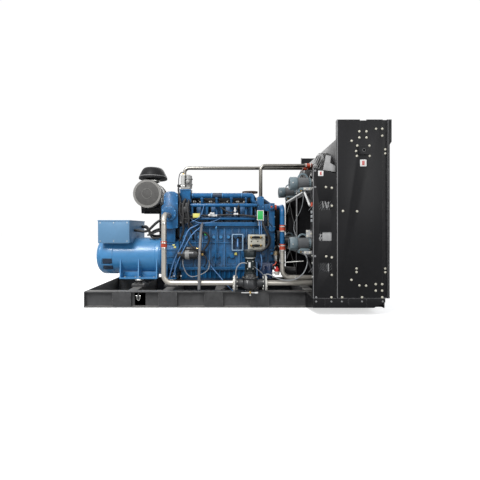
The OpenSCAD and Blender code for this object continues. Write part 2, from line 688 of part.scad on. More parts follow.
module vent_pipes() {
    color("silver") for (v = [vent_a, vent_b]) {
        z0 = v == vent_a ? 1300 : thermo_z + 11 + c;
        rod_z([v.x, v.y, z0], v.z - 60 - z0, vent_r);
        elbow(v, [0, 0, 1], [1, 0, 0], vent_r, 60);
        rod_x([v.x + 60, v.y, v.z], rad_x - sheet - c - v.x - 60, vent_r);
    }
}
module hose_couplings() {
    color("firebrick") {
        sleeve_z([left_x, -main_y, 700], pipe_r);
        sleeve_z([riser_x, riser_y, 660], pipe_r);
        sleeve_z([riser_x, riser_y, 890], pipe_r);
        sleeve_x([973, vent_b.y, vent_b.z], vent_r);
        sleeve_x([960, vent_a.y, vent_a.z], vent_r);
    }
}
module breather_hose() {
    color("black") hose([[-345, -head_y - 66 - c, 990], [-345, -330, 990], [-345, -470, 980], [-345, -560, 700], [-345, -main_y - 50, 560], [-345, -main_y - 50, 230]], 17, 14);
}
module cable_loom() {
    x0 = tbox_x + tbox_l + c;
    x1 = plenum_x - c;
    color("black")
        hose([[x0, -130, 905], [x0 + 150, -130, 905], [x0 + 180, -150, 800], [x0 + 250, -150, 1050], [x1, -150, 1050]], 17, 14);
}
module pump_body() {
    r = 92;
    color("dimgray") {
        rod_x([pump_x - pump_l / 2, -main_y, main_z], pump_l, 44);
        for (x = [pump_x - pump_l / 2, pump_x + pump_l / 2 - flange_t])
            rod_x([x, -main_y, main_z], flange_t, flange_r);
        translate([pump_x, -main_y, skid_h + c]) rotate_extrude() polygon([
            [0, 0], [64, 0], [64, 12], [50, 18], [50, 34], [r - 8, 52], [r, 72], [r, main_up + 34],
            [r - 14, main_up + 50], [r + 4, main_up + 54], [r + 4, main_up + 68 - c], [0, main_up + 68 - c]]);
        difference() {
            rod_z([pump_x, -main_y, main_z + 60], 50, 70);
            for (a = [45:90:359])
                translate([pump_x, -main_y, 0]) rotate([0, 0, a]) block([40, 90], [-24, 24], [main_z + 74, main_z + 100]);
        }
        for (a = [0:30:359])
            translate([pump_x, -main_y, 0]) rotate([0, 0, a]) rod_z([r - 8, 0, main_z + 66], 12, 7);
    }
}
module pump_motor() {
    r = pmotor_r;
    z = main_z + 110 + c;
    color("black") {
        translate([pump_x, -main_y, z]) linear_extrude(190) finned(r - 8, r, 24);
        translate([pump_x, -main_y, z - c + 0.6]) cylinder(h = 14, r = r + 4);
        translate([pump_x, -main_y, z + 176]) cylinder(h = 14, r = r);
        translate([pump_x, -main_y, z + 189]) rotate_extrude() polygon([
            [0, 0], [r + 8, 0], [r + 12, 6], [r + 12, 70], [r + 4, 84], [r - 8, 88], [0, 88]]);
        block([pump_x - 34, pump_x + 34], [-main_y - r - 14, -main_y - r + 20], [z + 60, z + 150]);
    }
}
module finned(r0, r1, n) {
    circle(r0);
    for (i = [0:n - 1])
        rotate(i * 360 / n) translate([0, -1.5]) square([r1, 3]);
}

// Radiator
module radiator_core() {
    n = 40;
    y = rad_y - fold_d - sheet - c;
    p = 2 * (y - 60) / n;
    z0 = skid_h + 120;
    z2 = plate_top - sheet;
    z1 = z2 - 164;
    color("gray") {
        translate([0, 0, z0 - 1]) linear_extrude(z1 - z0 + 2) union() {
            translate([rad_x + 200, 60 - y]) square([rad_l - 320, 2 * y - 120]);
            for (i = [0:n - 1])
                translate([rad_x + 180, 60 - y + (i + 0.25) * p]) square([rad_l - 280, p / 2]);
        }
        for (z = [[z1, z2], [skid_h + c, z0]])
            block([rad_x + 120, rad_end - 60], [-y, y], z);
        for (i = [0:7])
            block([rad_x + 112, rad_end - 52], [(i - 3.5) * 2 * y / 8 - 6, (i - 3.5) * 2 * y / 8 + 6], [z1 + 20, z2]);
    }
}
module rad_side() {
    y = rad_y;
    x1 = rad_end - 61;
    x2 = rad_end - 16;
    f = y - fold_d;
    lug_x = rad_x + 227;
    lug_z = rad_top - 375;
    color("dimgray") {
        difference() {
            translate([0, 0, skid_h]) linear_extrude(rad_top - skid_h) union() {
                translate([rad_x, y - 50]) square([sheet, 50]);
                translate([rad_x, y - sheet]) square([x1 - rad_x, sheet]);
                translate([x1 - sheet, f - sheet]) square([sheet, fold_d + sheet]);
                translate([x1 - sheet, f - sheet]) square([x2 - x1 + 2 * sheet, sheet]);
                translate([x2, f - sheet]) square([sheet, fold_d + sheet]);
                translate([x2, y - sheet]) square([rad_end - x2, sheet]);
                translate([rad_end - sheet, y - 50]) square([sheet, 50]);
            }
            block([rad_x + 242, rad_x + 310], [y - 60, y + 1], [rad_top - 10, rad_top + 1]);
        }
        difference() {
            block([lug_x, lug_x + 95], [y - 1, y + lug_d], [lug_z, lug_z + 90]);
            rod_y([lug_x + 47, y + 2, lug_z + 44], lug_d, 13);
        }
    }
}
module radiator_side_far() { rad_side(); }
module core_guard() {
    n = 10;
    top = rad_top - header_h;
    h = (top - skid_h - 70) / 2;
    color("black") {
        difference() {
            block([rad_end + c, rad_end + 14], [-rad_y, rad_y], [skid_h + c, rad_top]);
            for (y = [30 - rad_y, 15], z = [skid_h + 35, skid_h + 55 + h])
                block([rad_end - 1, rad_end + 15], [y, y + rad_y - 45], [z, z + h]);
        }
        block([rad_end + 13, rad_end + guard_d], [-rad_y, rad_y], [top + 20, rad_top]);
        run_y(-rad_y, 2 * rad_y) polygon([
            [rad_end + 13, top - 10], [rad_end + 14, top - 10], [rad_end + guard_d, top + 20], [rad_end + 13, top + 20]]);
        for (i = [1:n])
            block([rad_end + 13, rad_end + guard_d - 6], [40 - rad_y, rad_y - 40], [skid_h + i * h / 5.3 - 6, skid_h + i * h / 5.3 + 6]);
    }
}
module radiator_side_near() { mirror([0, 1, 0]) rad_side(); }
module fan_plate() {
    color("dimgray") {
        difference() {
            union() {
                block([rad_x - sheet, rad_x - c], [-rad_y, rad_y], [skid_h + c, plate_top]);
                for (s = [-1, 1], i = [0, 1])
                    rod_x([ring_x, s * fan_y, fan_z + i * fan_rise], rad_x - sheet - ring_x + 1, ring_r);
            }
            for (s = [-1, 1], i = [0, 1])
                rod_x([ring_x - 10, s * fan_y, fan_z + i * fan_rise], 90, fan_r + 8);
        }
        block([fan_x + c, rad_x - sheet + 1], [-sheet / 2, sheet / 2], [skid_h + c, fan_top]);
        block([fan_x + c, fan_x + sheet], [-20, 20], [skid_h + c, fan_top]);
    }
}
module fan_guards() {
    r1 = fan_r + 14;
    r0 = 96;
    x0 = hub_x + 2;
    color("black") for (s = [-1, 1], i = [0, 1])
        translate([0, s * fan_y, fan_z + i * fan_rise]) difference() {
            rotate([0, 90, 0]) rotate_extrude()
                polygon([[r0, x0], [r0 + 20, x0], [r1, ring_x - 14], [r1, ring_x - c], [r1 - 8, ring_x - c], [r1 - 10, ring_x - 12], [r0 + 18, x0 + 5], [r0, x0 + 5]]);
            for (a = [0:23])
                rotate([a * 15, 0, 0]) {
                    translate([x0 - 40, -9, 126]) cube([200, 18, 96]);
                    translate([x0 - 40, -20, 234]) cube([200, 40, 98]);
                }
        }
}
module fan_impellers() {
    color("silver") for (s = [-1, 1], i = [0, 1])
        translate([0, s * fan_y, fan_z + i * fan_rise]) {
            rod_x([hub_x, 0, 0], 166, 62);
            intersection() {
                rod_x([hub_x, 0, 0], 200, fan_r);
                for (k = [0:fan_blades - 1])
                    rotate([k * 360 / fan_blades, 0, 0]) translate([ring_x + 28, 0, 50]) rotate([0, 0, 58]) linear_extrude(fan_r)
                        polygon([[-62, -4], [-20, 6], [30, 6], [62, -4], [62, -7], [30, 0], [-20, 0], [-62, -7]]);
            }
        }
}
module fan_motors() {
    r = fmotor_r;
    color("gray") for (s = [-1, 1], i = [0, 1])
        translate([0, s * fan_y, fan_z + i * fan_rise]) {
            translate([fmotor_x, 0, 0]) rotate([0, 90, 0]) rotate_extrude()
                polygon([[0, 4], [r - 22, 4], [r - 18, 0], [r - 6, 0], [r, 8], [r, 84], [r - 4, 90], [0, 90]]);
            translate([fmotor_x + 89, 0, 0]) rotate([0, 90, 0]) linear_extrude(fmotor_l - 100) finned(r - 16, r - 8, 20);
            translate([fmotor_x + fmotor_l - 14, 0, 0]) rotate([0, 90, 0]) rotate_extrude()
                polygon([[0, 0], [r - 10, 0], [r - 10, 8], [r - 30, 14], [0, 14]]);
            block([fmotor_x + 110, fmotor_x + 236], [-60, 60], [-r, 14 - r]);
            for (y = [-50, 38])
                block([fmotor_x + 120, fmotor_x + 226], [y, y + 12], [1 - r, -40]);
            block([fmotor_x + 100, fmotor_x + 170], [-34, 34], [-r - 26, -50]);
            translate([fmotor_x + 160, 0, r - 20]) rotate([90, 0, 0]) translate([0, 0, -15])
                linear_extrude(30) difference() {
                    circle(64);
                    circle(46);
                    translate([-70, -80]) square([140, 78]);
                }
        }
}
module motor_brackets() {
    x = fmotor_x + 184;
    y0 = sheet / 2 + c;
    y1 = rad_y - sheet - c;
    color("silver") for (s = [-1, 1]) {
        for (i = [0, 1]) {
            z = fan_z + i * fan_rise - fmotor_r - c;
            block([x, x + 52], [s > 0 ? y0 : -y1, s > 0 ? y1 : -y0], [z - 8, z]);
            block([x, x + 6], [s > 0 ? y0 : -y1, s > 0 ? y1 : -y0], [z - 60, z - 7]);
            run_x(x, 6) polygon([
                [s * (fan_y + 24), z - 30], [s * (fan_y - 30), z - 30], [s * y1, z - 270], [s * y1, z - 220]]);
        }
        translate([0, s > 0 ? y1 - 34 : 30 - y1, 0]) run_y(0, 4) polygon([
            [rad_x - 138, fan_top + 80], [rad_x - 106, fan_top + 241], [rad_x - 52, fan_top + 230],
            [rad_x - 62, fan_top + 155], [rad_x - sheet - c, fan_top + 123], [rad_x - sheet - c, fan_top + 58]]);
    }
}
module fan_side() {
    x1 = rad_x - sheet - c;
    color("dimgray") {
        difference() {
            run_y(rad_y - sheet, sheet) polygon([[fan_x, skid_h + c], [x1, skid_h + c], [x1, fan_top + 31], [fan_x, fan_top + 102]]);
            for (z = [519, 845, 1176])
                run_y(rad_y - 20, 40) translate([fan_x + 60, z - 49]) rounded(138, 98, 14);
        }
        block([fan_x, fan_x + sheet], [rad_y - 44, rad_y - sheet + 1], [skid_h + c, fan_top]);
        block([fan_x + 1, x1], [rad_y - 30, rad_y - sheet + 1], [fan_top - 6, fan_top]);
    }
}
module fan_box_far() { fan_side(); }
module fan_box_near() { mirror([0, 1, 0]) fan_side(); }

skid_rail_near();
skid_rail_far();
skid_cross_members();
outriggers_near();
outriggers_far();
vibration_mounts();
alternator_frame();
alternator_end_cover();
alternator_adapter();
terminal_box();
cable_loom();
flywheel_housing();
engine_block();
oil_pan();
cylinder_heads();
intake_manifold();
fluid_rails();
exhaust_manifold();
gear_cover();
crank_pulley();
starter_motor();
oil_filters();
ignition_unit();
air_cleaner();
air_cleaner_bracket();
rain_cap();
mixer_housing();
gas_valve();
coolant_pipe_left();
coolant_pipe_right();
coolant_riser();
vent_pipes();
hose_couplings();
breather_hose();
pump_body();
pump_motor();
radiator_core();
radiator_side_near();
radiator_side_far();
core_guard();
fan_plate();
fan_guards();
fan_impellers();
fan_motors();
motor_brackets();
fan_box_near();
fan_box_far();
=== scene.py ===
"""Looks of a gas engine generator set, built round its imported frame.

Every length is in metres in the row frame: +X runs from the alternator to the radiator, -Y is the
side that the photograph shows, +Z is up. Each node's skin is a copy of its solid. The added pieces
are placed in the same frame.
"""

import json
import logging
import math
from collections.abc import Callable, Iterable
from dataclasses import dataclass
from enum import Enum

import bpy
from mathutils import Euler, Matrix, Vector

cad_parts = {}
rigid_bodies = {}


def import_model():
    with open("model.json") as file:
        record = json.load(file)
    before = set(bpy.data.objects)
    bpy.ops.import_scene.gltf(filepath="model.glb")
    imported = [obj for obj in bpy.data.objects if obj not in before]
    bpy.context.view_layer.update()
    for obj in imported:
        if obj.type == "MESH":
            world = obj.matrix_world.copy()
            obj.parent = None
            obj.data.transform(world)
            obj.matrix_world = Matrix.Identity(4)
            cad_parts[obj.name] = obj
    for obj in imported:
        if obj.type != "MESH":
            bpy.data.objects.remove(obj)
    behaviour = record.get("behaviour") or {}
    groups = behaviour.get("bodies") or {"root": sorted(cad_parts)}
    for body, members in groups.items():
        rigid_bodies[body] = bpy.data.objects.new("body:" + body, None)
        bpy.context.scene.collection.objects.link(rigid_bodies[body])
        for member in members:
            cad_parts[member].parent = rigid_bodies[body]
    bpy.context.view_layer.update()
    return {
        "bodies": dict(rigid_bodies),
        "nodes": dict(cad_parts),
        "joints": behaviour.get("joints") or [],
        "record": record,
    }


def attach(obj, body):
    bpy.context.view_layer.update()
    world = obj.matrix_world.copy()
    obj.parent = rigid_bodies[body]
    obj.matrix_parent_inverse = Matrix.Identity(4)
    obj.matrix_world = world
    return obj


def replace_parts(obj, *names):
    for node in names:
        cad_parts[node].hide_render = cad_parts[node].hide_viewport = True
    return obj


LOG = logging.getLogger("genset")
Point = tuple[float, float, float]
Colour = tuple[float, float, float]
Profile = list[tuple[float, float]]
Node = bpy.types.Node
Piece = bpy.types.Object
Socket = bpy.types.NodeSocket

# Viewpoint, lens and lens axis of the photograph
EYE: Point = (0.0795, -4.2, 0.936)
FOCAL_PX = 310.0
FRAME_PX = 480.0
AXIS_PX = (236.0, 228.0)
# Height of the crank shaft
SHAFT_Z = 0.57
SMOOTH_BELOW = math.radians(35)
MID_GREY = (0.5, 0.5, 0.5, 1)


class Axis(Enum):
    """Direction in which a round piece or a bolt points."""

    RIGHT = (0.0, math.pi / 2, 0.0)
    LEFT = (0.0, -math.pi / 2, 0.0)
    NEAR = (math.pi / 2, 0.0, 0.0)
    FAR = (-math.pi / 2, 0.0, 0.0)
    UP = (0.0, 0.0, 0.0)
    DOWN = (math.pi, 0.0, 0.0)

    def matrix(self) -> Matrix:
        """Returns the turn that brings +Z onto this direction."""
        return Euler(self.value).to_matrix().to_4x4()


RIGHT, LEFT, NEAR, FAR, UP, DOWN = Axis
Places = list[tuple[Point, Axis]]
SIDES = ((-1, "near", NEAR), (1, "far", FAR))


class Nodes:
    """Short names for the shader node work that every finish does."""

    def __init__(self, tree: bpy.types.NodeTree) -> None:
        """Starts an empty tree.

        Args:
            tree: Tree of a material or of a node group.
        """
        self.tree = tree
        tree.nodes.clear()

    def add(self, kind: str, values: dict[str, object] | None = None, **settings: object) -> Node:
        """Adds a node.

        Args:
            kind: Node type without the ShaderNode prefix.
            values: Input names and their start values.
            **settings: Attributes set on the node.

        Returns:
            The new node.
        """
        prefix = "" if kind.startswith("NodeGroup") else "ShaderNode"
        made = self.tree.nodes.new(prefix + kind)
        for key, value in settings.items():
            setattr(made, key, value)
        for key, value in (values or {}).items():
            made.inputs[key].default_value = value
        return made

    def link(self, source: Socket, target: Socket) -> None:
        """Joins two sockets."""
        self.tree.links.new(source, target)

    def feed(self, value: object, target: Socket) -> None:
        """Gives a socket its value.

        Args:
            value: A number or another socket.
            target: Socket that gets it.
        """
        if isinstance(value, (int, float)):
            target.default_value = value
        else:
            self.link(value, target)

    def colour(self, value: Colour) -> Socket:
        """Adds a plain colour.

        Args:
            value: Red, green and blue.

        Returns:
            The colour socket.
        """
        made = self.add("RGB")
        made.outputs[0].default_value = (*value, 1)
        return made.outputs[0]

    def noise(self, vector: Socket, scale: object, detail: float) -> Socket:
        """Adds a noise texture.

        Args:
            vector: Where the noise is read.
            scale: Bumps per metre, a socket or a number.
            detail: Octaves.

        Returns:
            The noise's value socket.
        """
        made = self.add("TexNoise", {"Detail": detail})
        self.feed(scale, made.inputs["Scale"])
        self.link(vector, made.inputs["Vector"])
        return made.outputs["Fac"]

    def remap(self, value: Socket, low: float, high: float) -> Socket:
        """Maps a range to 0 to 1 and clamps it.

        Args:
            value: Value to map.
            low: Value that gives 0.
            high: Value that gives 1.

        Returns:
            The mapped value socket.
        """
        made = self.add("MapRange", {"From Min": low, "From Max": high})
        self.link(value, made.inputs["Value"])
        return made.outputs["Result"]

    def blend(self, factor: Socket, first: Socket, second: Socket) -> Socket:
        """Mixes two colours.

        Args:
            factor: Share of the second.
            first: First colour socket.
            second: Second colour socket.

        Returns:
            The mixed colour socket.
        """
        made = self.add("Mix", data_type="RGBA")
        for source, at in ((factor, 0), (first, 6), (second, 7)):
            self.link(source, made.inputs[at])
        return made.outputs[2]

    def choose(self, factor: Socket, first: Node, second: Node) -> Socket:
        """Mixes two shaders.

        Args:
            factor: Share of the second.
            first: First shader node.
            second: Second shader node.

        Returns:
            The mixed shader socket.
        """
        made = self.add("MixShader")
        for source, at in ((factor, 0), (first.outputs[0], 1), (second.outputs[0], 2)):
            self.link(source, made.inputs[at])
        return made.outputs[0]

    def maths(self, operation: str, first: Socket, second: object) -> Socket:
        """Adds a math node.

        Args:
            operation: Blender's name of the operation.
            first: First value.
            second: Second value, a socket or a number.

        Returns:
            The result socket.
        """
        made = self.add("Math", operation=operation)
        self.link(first, made.inputs[0])
        self.feed(second, made.inputs[1])
        return made.outputs[0]

    def plus(self, first: Socket, second: object) -> Socket:
        """Adds two values."""
        return self.maths("ADD", first, second)

    def times(self, first: Socket, second: object) -> Socket:
        """Multiplies two values."""
        return self.maths("MULTIPLY", first, second)

    def raised(self, height: Socket, distance: float, strength: float, shader: Node) -> None:
        """Gives a shader a bumpy skin.

        Args:
            height: Height of the skin.
            distance: Height of 1 in metres.
            strength: Share of the bump that is used.
            shader: Shader that gets it.
        """
        made = self.add("Bump", {"Distance": distance, "Strength": strength})
        self.link(height, made.inputs["Height"])
        self.link(made.outputs["Normal"], shader.inputs["Normal"])


def new_group(name: str, inputs: dict[str, object], *outputs: str) -> tuple[Nodes, Node, Node]:
    """Makes a shader node group with its sockets.

    Args:
        name: Group name.
        inputs: Socket name to its start value, a number or a colour.
        *outputs: Socket names. Color is a colour and every other one is a number.

    Returns:
        The group's node helper, its input node and its output node.
    """
    tree = bpy.data.node_groups.new(name, "ShaderNodeTree")
    for key, value in inputs.items():
        kind = "NodeSocketFloat" if isinstance(value, (int, float)) else "NodeSocketColor"
        tree.interface.new_socket(name=key, in_out="INPUT", socket_type=kind).default_value = value
    for key in outputs:
        kind = "NodeSocketColor" if key == "Color" else "NodeSocketFloat"
        tree.interface.new_socket(name=key, in_out="OUTPUT", socket_type=kind)
    nodes = Nodes(tree)
    return nodes, nodes.add("NodeGroupInput"), nodes.add("NodeGroupOutput")


def new_material(name: str, values: dict[str, object]) -> tuple[bpy.types.Material, Nodes, Node]:
    """Starts a material with one shader on its surface.

    Args:
        name: Material name.
        values: The shader's input names and their values.

    Returns:
        The material, its node helper and its shader.
    """
    material = bpy.data.materials.new(name)
    material.use_nodes = True
    n = Nodes(material.node_tree)
    shader = n.add("BsdfPrincipled", values)
    n.link(shader.outputs[0], n.add("OutputMaterial").inputs["Surface"])
    return material, n, shader


class Effects:
    """Node groups that several finishes share."""

    def __init__(self) -> None:
        """Builds the groups."""
        self.weather = self._weather()
        self.grain = self._grain()
        self.streaks = self._streaks()
        self.edges = self._edges()
        self.crevices = self._crevices()

    def _weather(self) -> bpy.types.NodeTree:
        """Mottles paint and lays dust on what faces up.

        Returns:
            The node group.
        """
        inputs = {
            "Base": MID_GREY,
            "Dust": (0.5, 0.48, 0.44, 1), "Mottle": 0.1, "Dust Amount": 0.3, "Low": 0.3, "High": 0.5}
        n, enter, leave = new_group("shop_weather", inputs, "Color", "Roughness")
        given = enter.outputs
        place = n.add("TexCoord").outputs["Object"]
        cloud = n.remap(n.noise(place, 3.0, 4.0), 0.3, 0.7)
        fine = n.remap(n.noise(place, 26.0, 5.0), 0.3, 0.7)
        mean = n.times(n.plus(cloud, fine), 0.5)
        shade = n.add("HueSaturation")
        n.link(given["Base"], shade.inputs["Color"])
        swing = n.times(n.maths("SUBTRACT", mean, 0.5), given["Mottle"])
        n.link(n.plus(n.times(swing, 2.0), 1.0), shade.inputs["Value"])
        facing = n.add("SeparateXYZ")
        n.link(n.add("NewGeometry").outputs["Normal"], facing.inputs[0])
        up = n.remap(facing.outputs["Z"], 0.35, 1.0)
        mask = n.times(n.times(up, n.plus(n.times(fine, 0.6), 0.4)), given["Dust Amount"])
        n.link(n.blend(mask, shade.outputs["Color"], given["Dust"]), leave.inputs["Color"])
        rough = n.plus(n.times(mean, n.maths("SUBTRACT", given["High"], given["Low"])), given["Low"])
        n.link(n.plus(rough, n.times(mask, 0.4)), leave.inputs["Roughness"])
        return n.tree

    def _grain(self) -> bpy.types.NodeTree:
        """Gives the height of a sprayed or cast skin.

        Returns:
            The node group.
        """
        n, enter, leave = new_group("shop_grain", {"Scale": 200.0, "Coarse": 0.3}, "Height")
        place = n.add("TexCoord").outputs["Object"]
        fine = n.noise(place, enter.outputs["Scale"], 4.0)
        pits = n.add("TexVoronoi")
        n.link(place, pits.inputs["Vector"])
        n.link(n.times(enter.outputs["Scale"], 0.6), pits.inputs["Scale"])
        n.link(n.plus(fine, n.times(pits.outputs["Distance"], enter.outputs["Coarse"])), leave.inputs["Height"])
        return n.tree

    def _streaks(self) -> bpy.types.NodeTree:
        """Tints drawn tube and machined metal in clouds, with a fine grain.

        Returns:
            The node group.
        """
        inputs = {"Base": (0.6, 0.6, 0.6, 1), "Tint": (0.4, 0.36, 0.3, 1), "Low": 0.2, "High": 0.4}
        n, enter, leave = new_group("shop_streaks", inputs, "Color", "Roughness", "Height")
        given = enter.outputs
        place = n.add("TexCoord").outputs["Object"]
        cloud = n.remap(n.noise(place, 14.0, 5.0), 0.3, 0.7)
        n.link(n.blend(n.times(cloud, 0.45), given["Base"], given["Tint"]), leave.inputs["Color"])
        span = n.maths("SUBTRACT", given["High"], given["Low"])
        n.link(n.plus(n.times(cloud, span), given["Low"]), leave.inputs["Roughness"])
        n.link(n.noise(place, 420.0, 2.0), leave.inputs["Height"])
        return n.tree

    def _edges(self) -> bpy.types.NodeTree:
        """Masks the corners that are painted lighter, partly as rubbed paint and partly as painted highlight.

        Returns:
            The node group.
        """
        n, enter, leave = new_group("shop_edges", {"Amount": 0.5, "Scale": 40.0}, "Mask")
        soft = n.add("Bevel", {"Radius": 0.004}, samples=4)
        turned = n.add("VectorMath", operation="DOT_PRODUCT")
        n.link(soft.outputs[0], turned.inputs[0])
        n.link(n.add("NewGeometry").outputs["Normal"], turned.inputs[1])
        corner = n.remap(turned.outputs["Value"], 0.995, 0.93)
        patchy = n.noise(n.add("TexCoord").outputs["Object"], enter.outputs["Scale"], 4.0)
        # Corner mask broken by noise: rubbed paint and painted highlight together.
        rubbed_and_lit = n.times(corner, n.remap(patchy, 0.35, 0.6))
        n.link(n.times(rubbed_and_lit, enter.outputs["Amount"]), leave.inputs["Mask"])
        return n.tree

    def _crevices(self) -> bpy.types.NodeTree:
        """Darkens paint between close pieces as painted shade, read from ambient occlusion.

        Returns:
            The node group.
        """
        n, enter, leave = new_group("shop_crevices", {"Color": MID_GREY, "Amount": 0.5}, "Color")
        near = n.add("AmbientOcclusion", {"Distance": 0.09}, samples=4)
        deep = n.times(n.remap(near.outputs["AO"], 0.95, 0.35), enter.outputs["Amount"])
        # Dark colour of the painted shade in crevices.
        crevice_shade = n.colour((0.004, 0.006, 0.01))
        n.link(n.blend(deep, enter.outputs["Color"], crevice_shade), leave.inputs["Color"])
        return n.tree


@dataclass(frozen=True)
class Paint:
    """A sprayed, moulded or cast finish."""

    name: str
    base: Colour
    low: float = 0.3
    high: float = 0.5
    mottle: float = 0.12
    dust: float = 0.05
    coat: float = 0.0
    metal: float = 0.0
    grain: float = 260.0
    coarse: float = 0.2
    bump: float = 0.00015
    gloss: float = 0.5
    edge_wear_and_highlight: float = 0.0
    edge_wear_and_highlight_tone: Colour = (0.22, 0.22, 0.22)
    crevice_shade: float = 0.0

    def build(self, effects: Effects) -> bpy.types.Material:
        """Makes the material.

        Args:
            effects: Shared node groups.

        Returns:
            The finished material.
        """
        values = {
            "Metallic": self.metal, "Coat Weight": self.coat, "Coat Roughness": 0.12, "Specular IOR Level": self.gloss}
        material, n, shader = new_material(self.name, values)
        values = {
            "Base": (*self.base, 1), "Mottle": self.mottle, "Dust Amount": self.dust, "Low": self.low,
            "High": self.high}
        weather = n.add("Group", values, node_tree=effects.weather)
        colour = weather.outputs["Color"]
        # Corners painted lighter: partly rubbed paint, partly painted highlight.
        if self.edge_wear_and_highlight:
            edges = n.add("Group", {"Amount": self.edge_wear_and_highlight}, node_tree=effects.edges)
            colour = n.blend(edges.outputs["Mask"], colour, n.colour(self.edge_wear_and_highlight_tone))
        # Painted shade in crevices, from ambient occlusion.
        if self.crevice_shade:
            crevices = n.add("Group", {"Amount": self.crevice_shade}, node_tree=effects.crevices)
            n.link(colour, crevices.inputs["Color"])
            colour = crevices.outputs["Color"]
        n.link(colour, shader.inputs["Base Color"])
        n.link(weather.outputs["Roughness"], shader.inputs["Roughness"])
        grain = n.add("Group", {"Scale": self.grain, "Coarse": self.coarse}, node_tree=effects.grain)
        n.raised(grain.outputs["Height"], self.bump, 0.6, shader)
        return material


@dataclass(frozen=True)
class Metal:
    """A bare metal finish, drawn or machined."""

    name: str
    base: Colour
    tint: Colour = (0.4, 0.36, 0.3)
    low: float = 0.18
    high: float = 0.38
    bump: float = 0.00005

    def build(self, effects: Effects) -> bpy.types.Material:
        """Makes the material.

        Args:
            effects: Shared node groups.

        Returns:
            The finished material.
        """
        material, n, shader = new_material(self.name, {"Metallic": 1.0})
        values = {"Base": (*self.base, 1), "Tint": (*self.tint, 1), "Low": self.low, "High": self.high}
        streaks = n.add("Group", values, node_tree=effects.streaks)
        n.link(streaks.outputs["Color"], shader.inputs["Base Color"])
        n.link(streaks.outputs["Roughness"], shader.inputs["Roughness"])
        n.raised(streaks.outputs["Height"], self.bump, 1.0, shader)
        return material


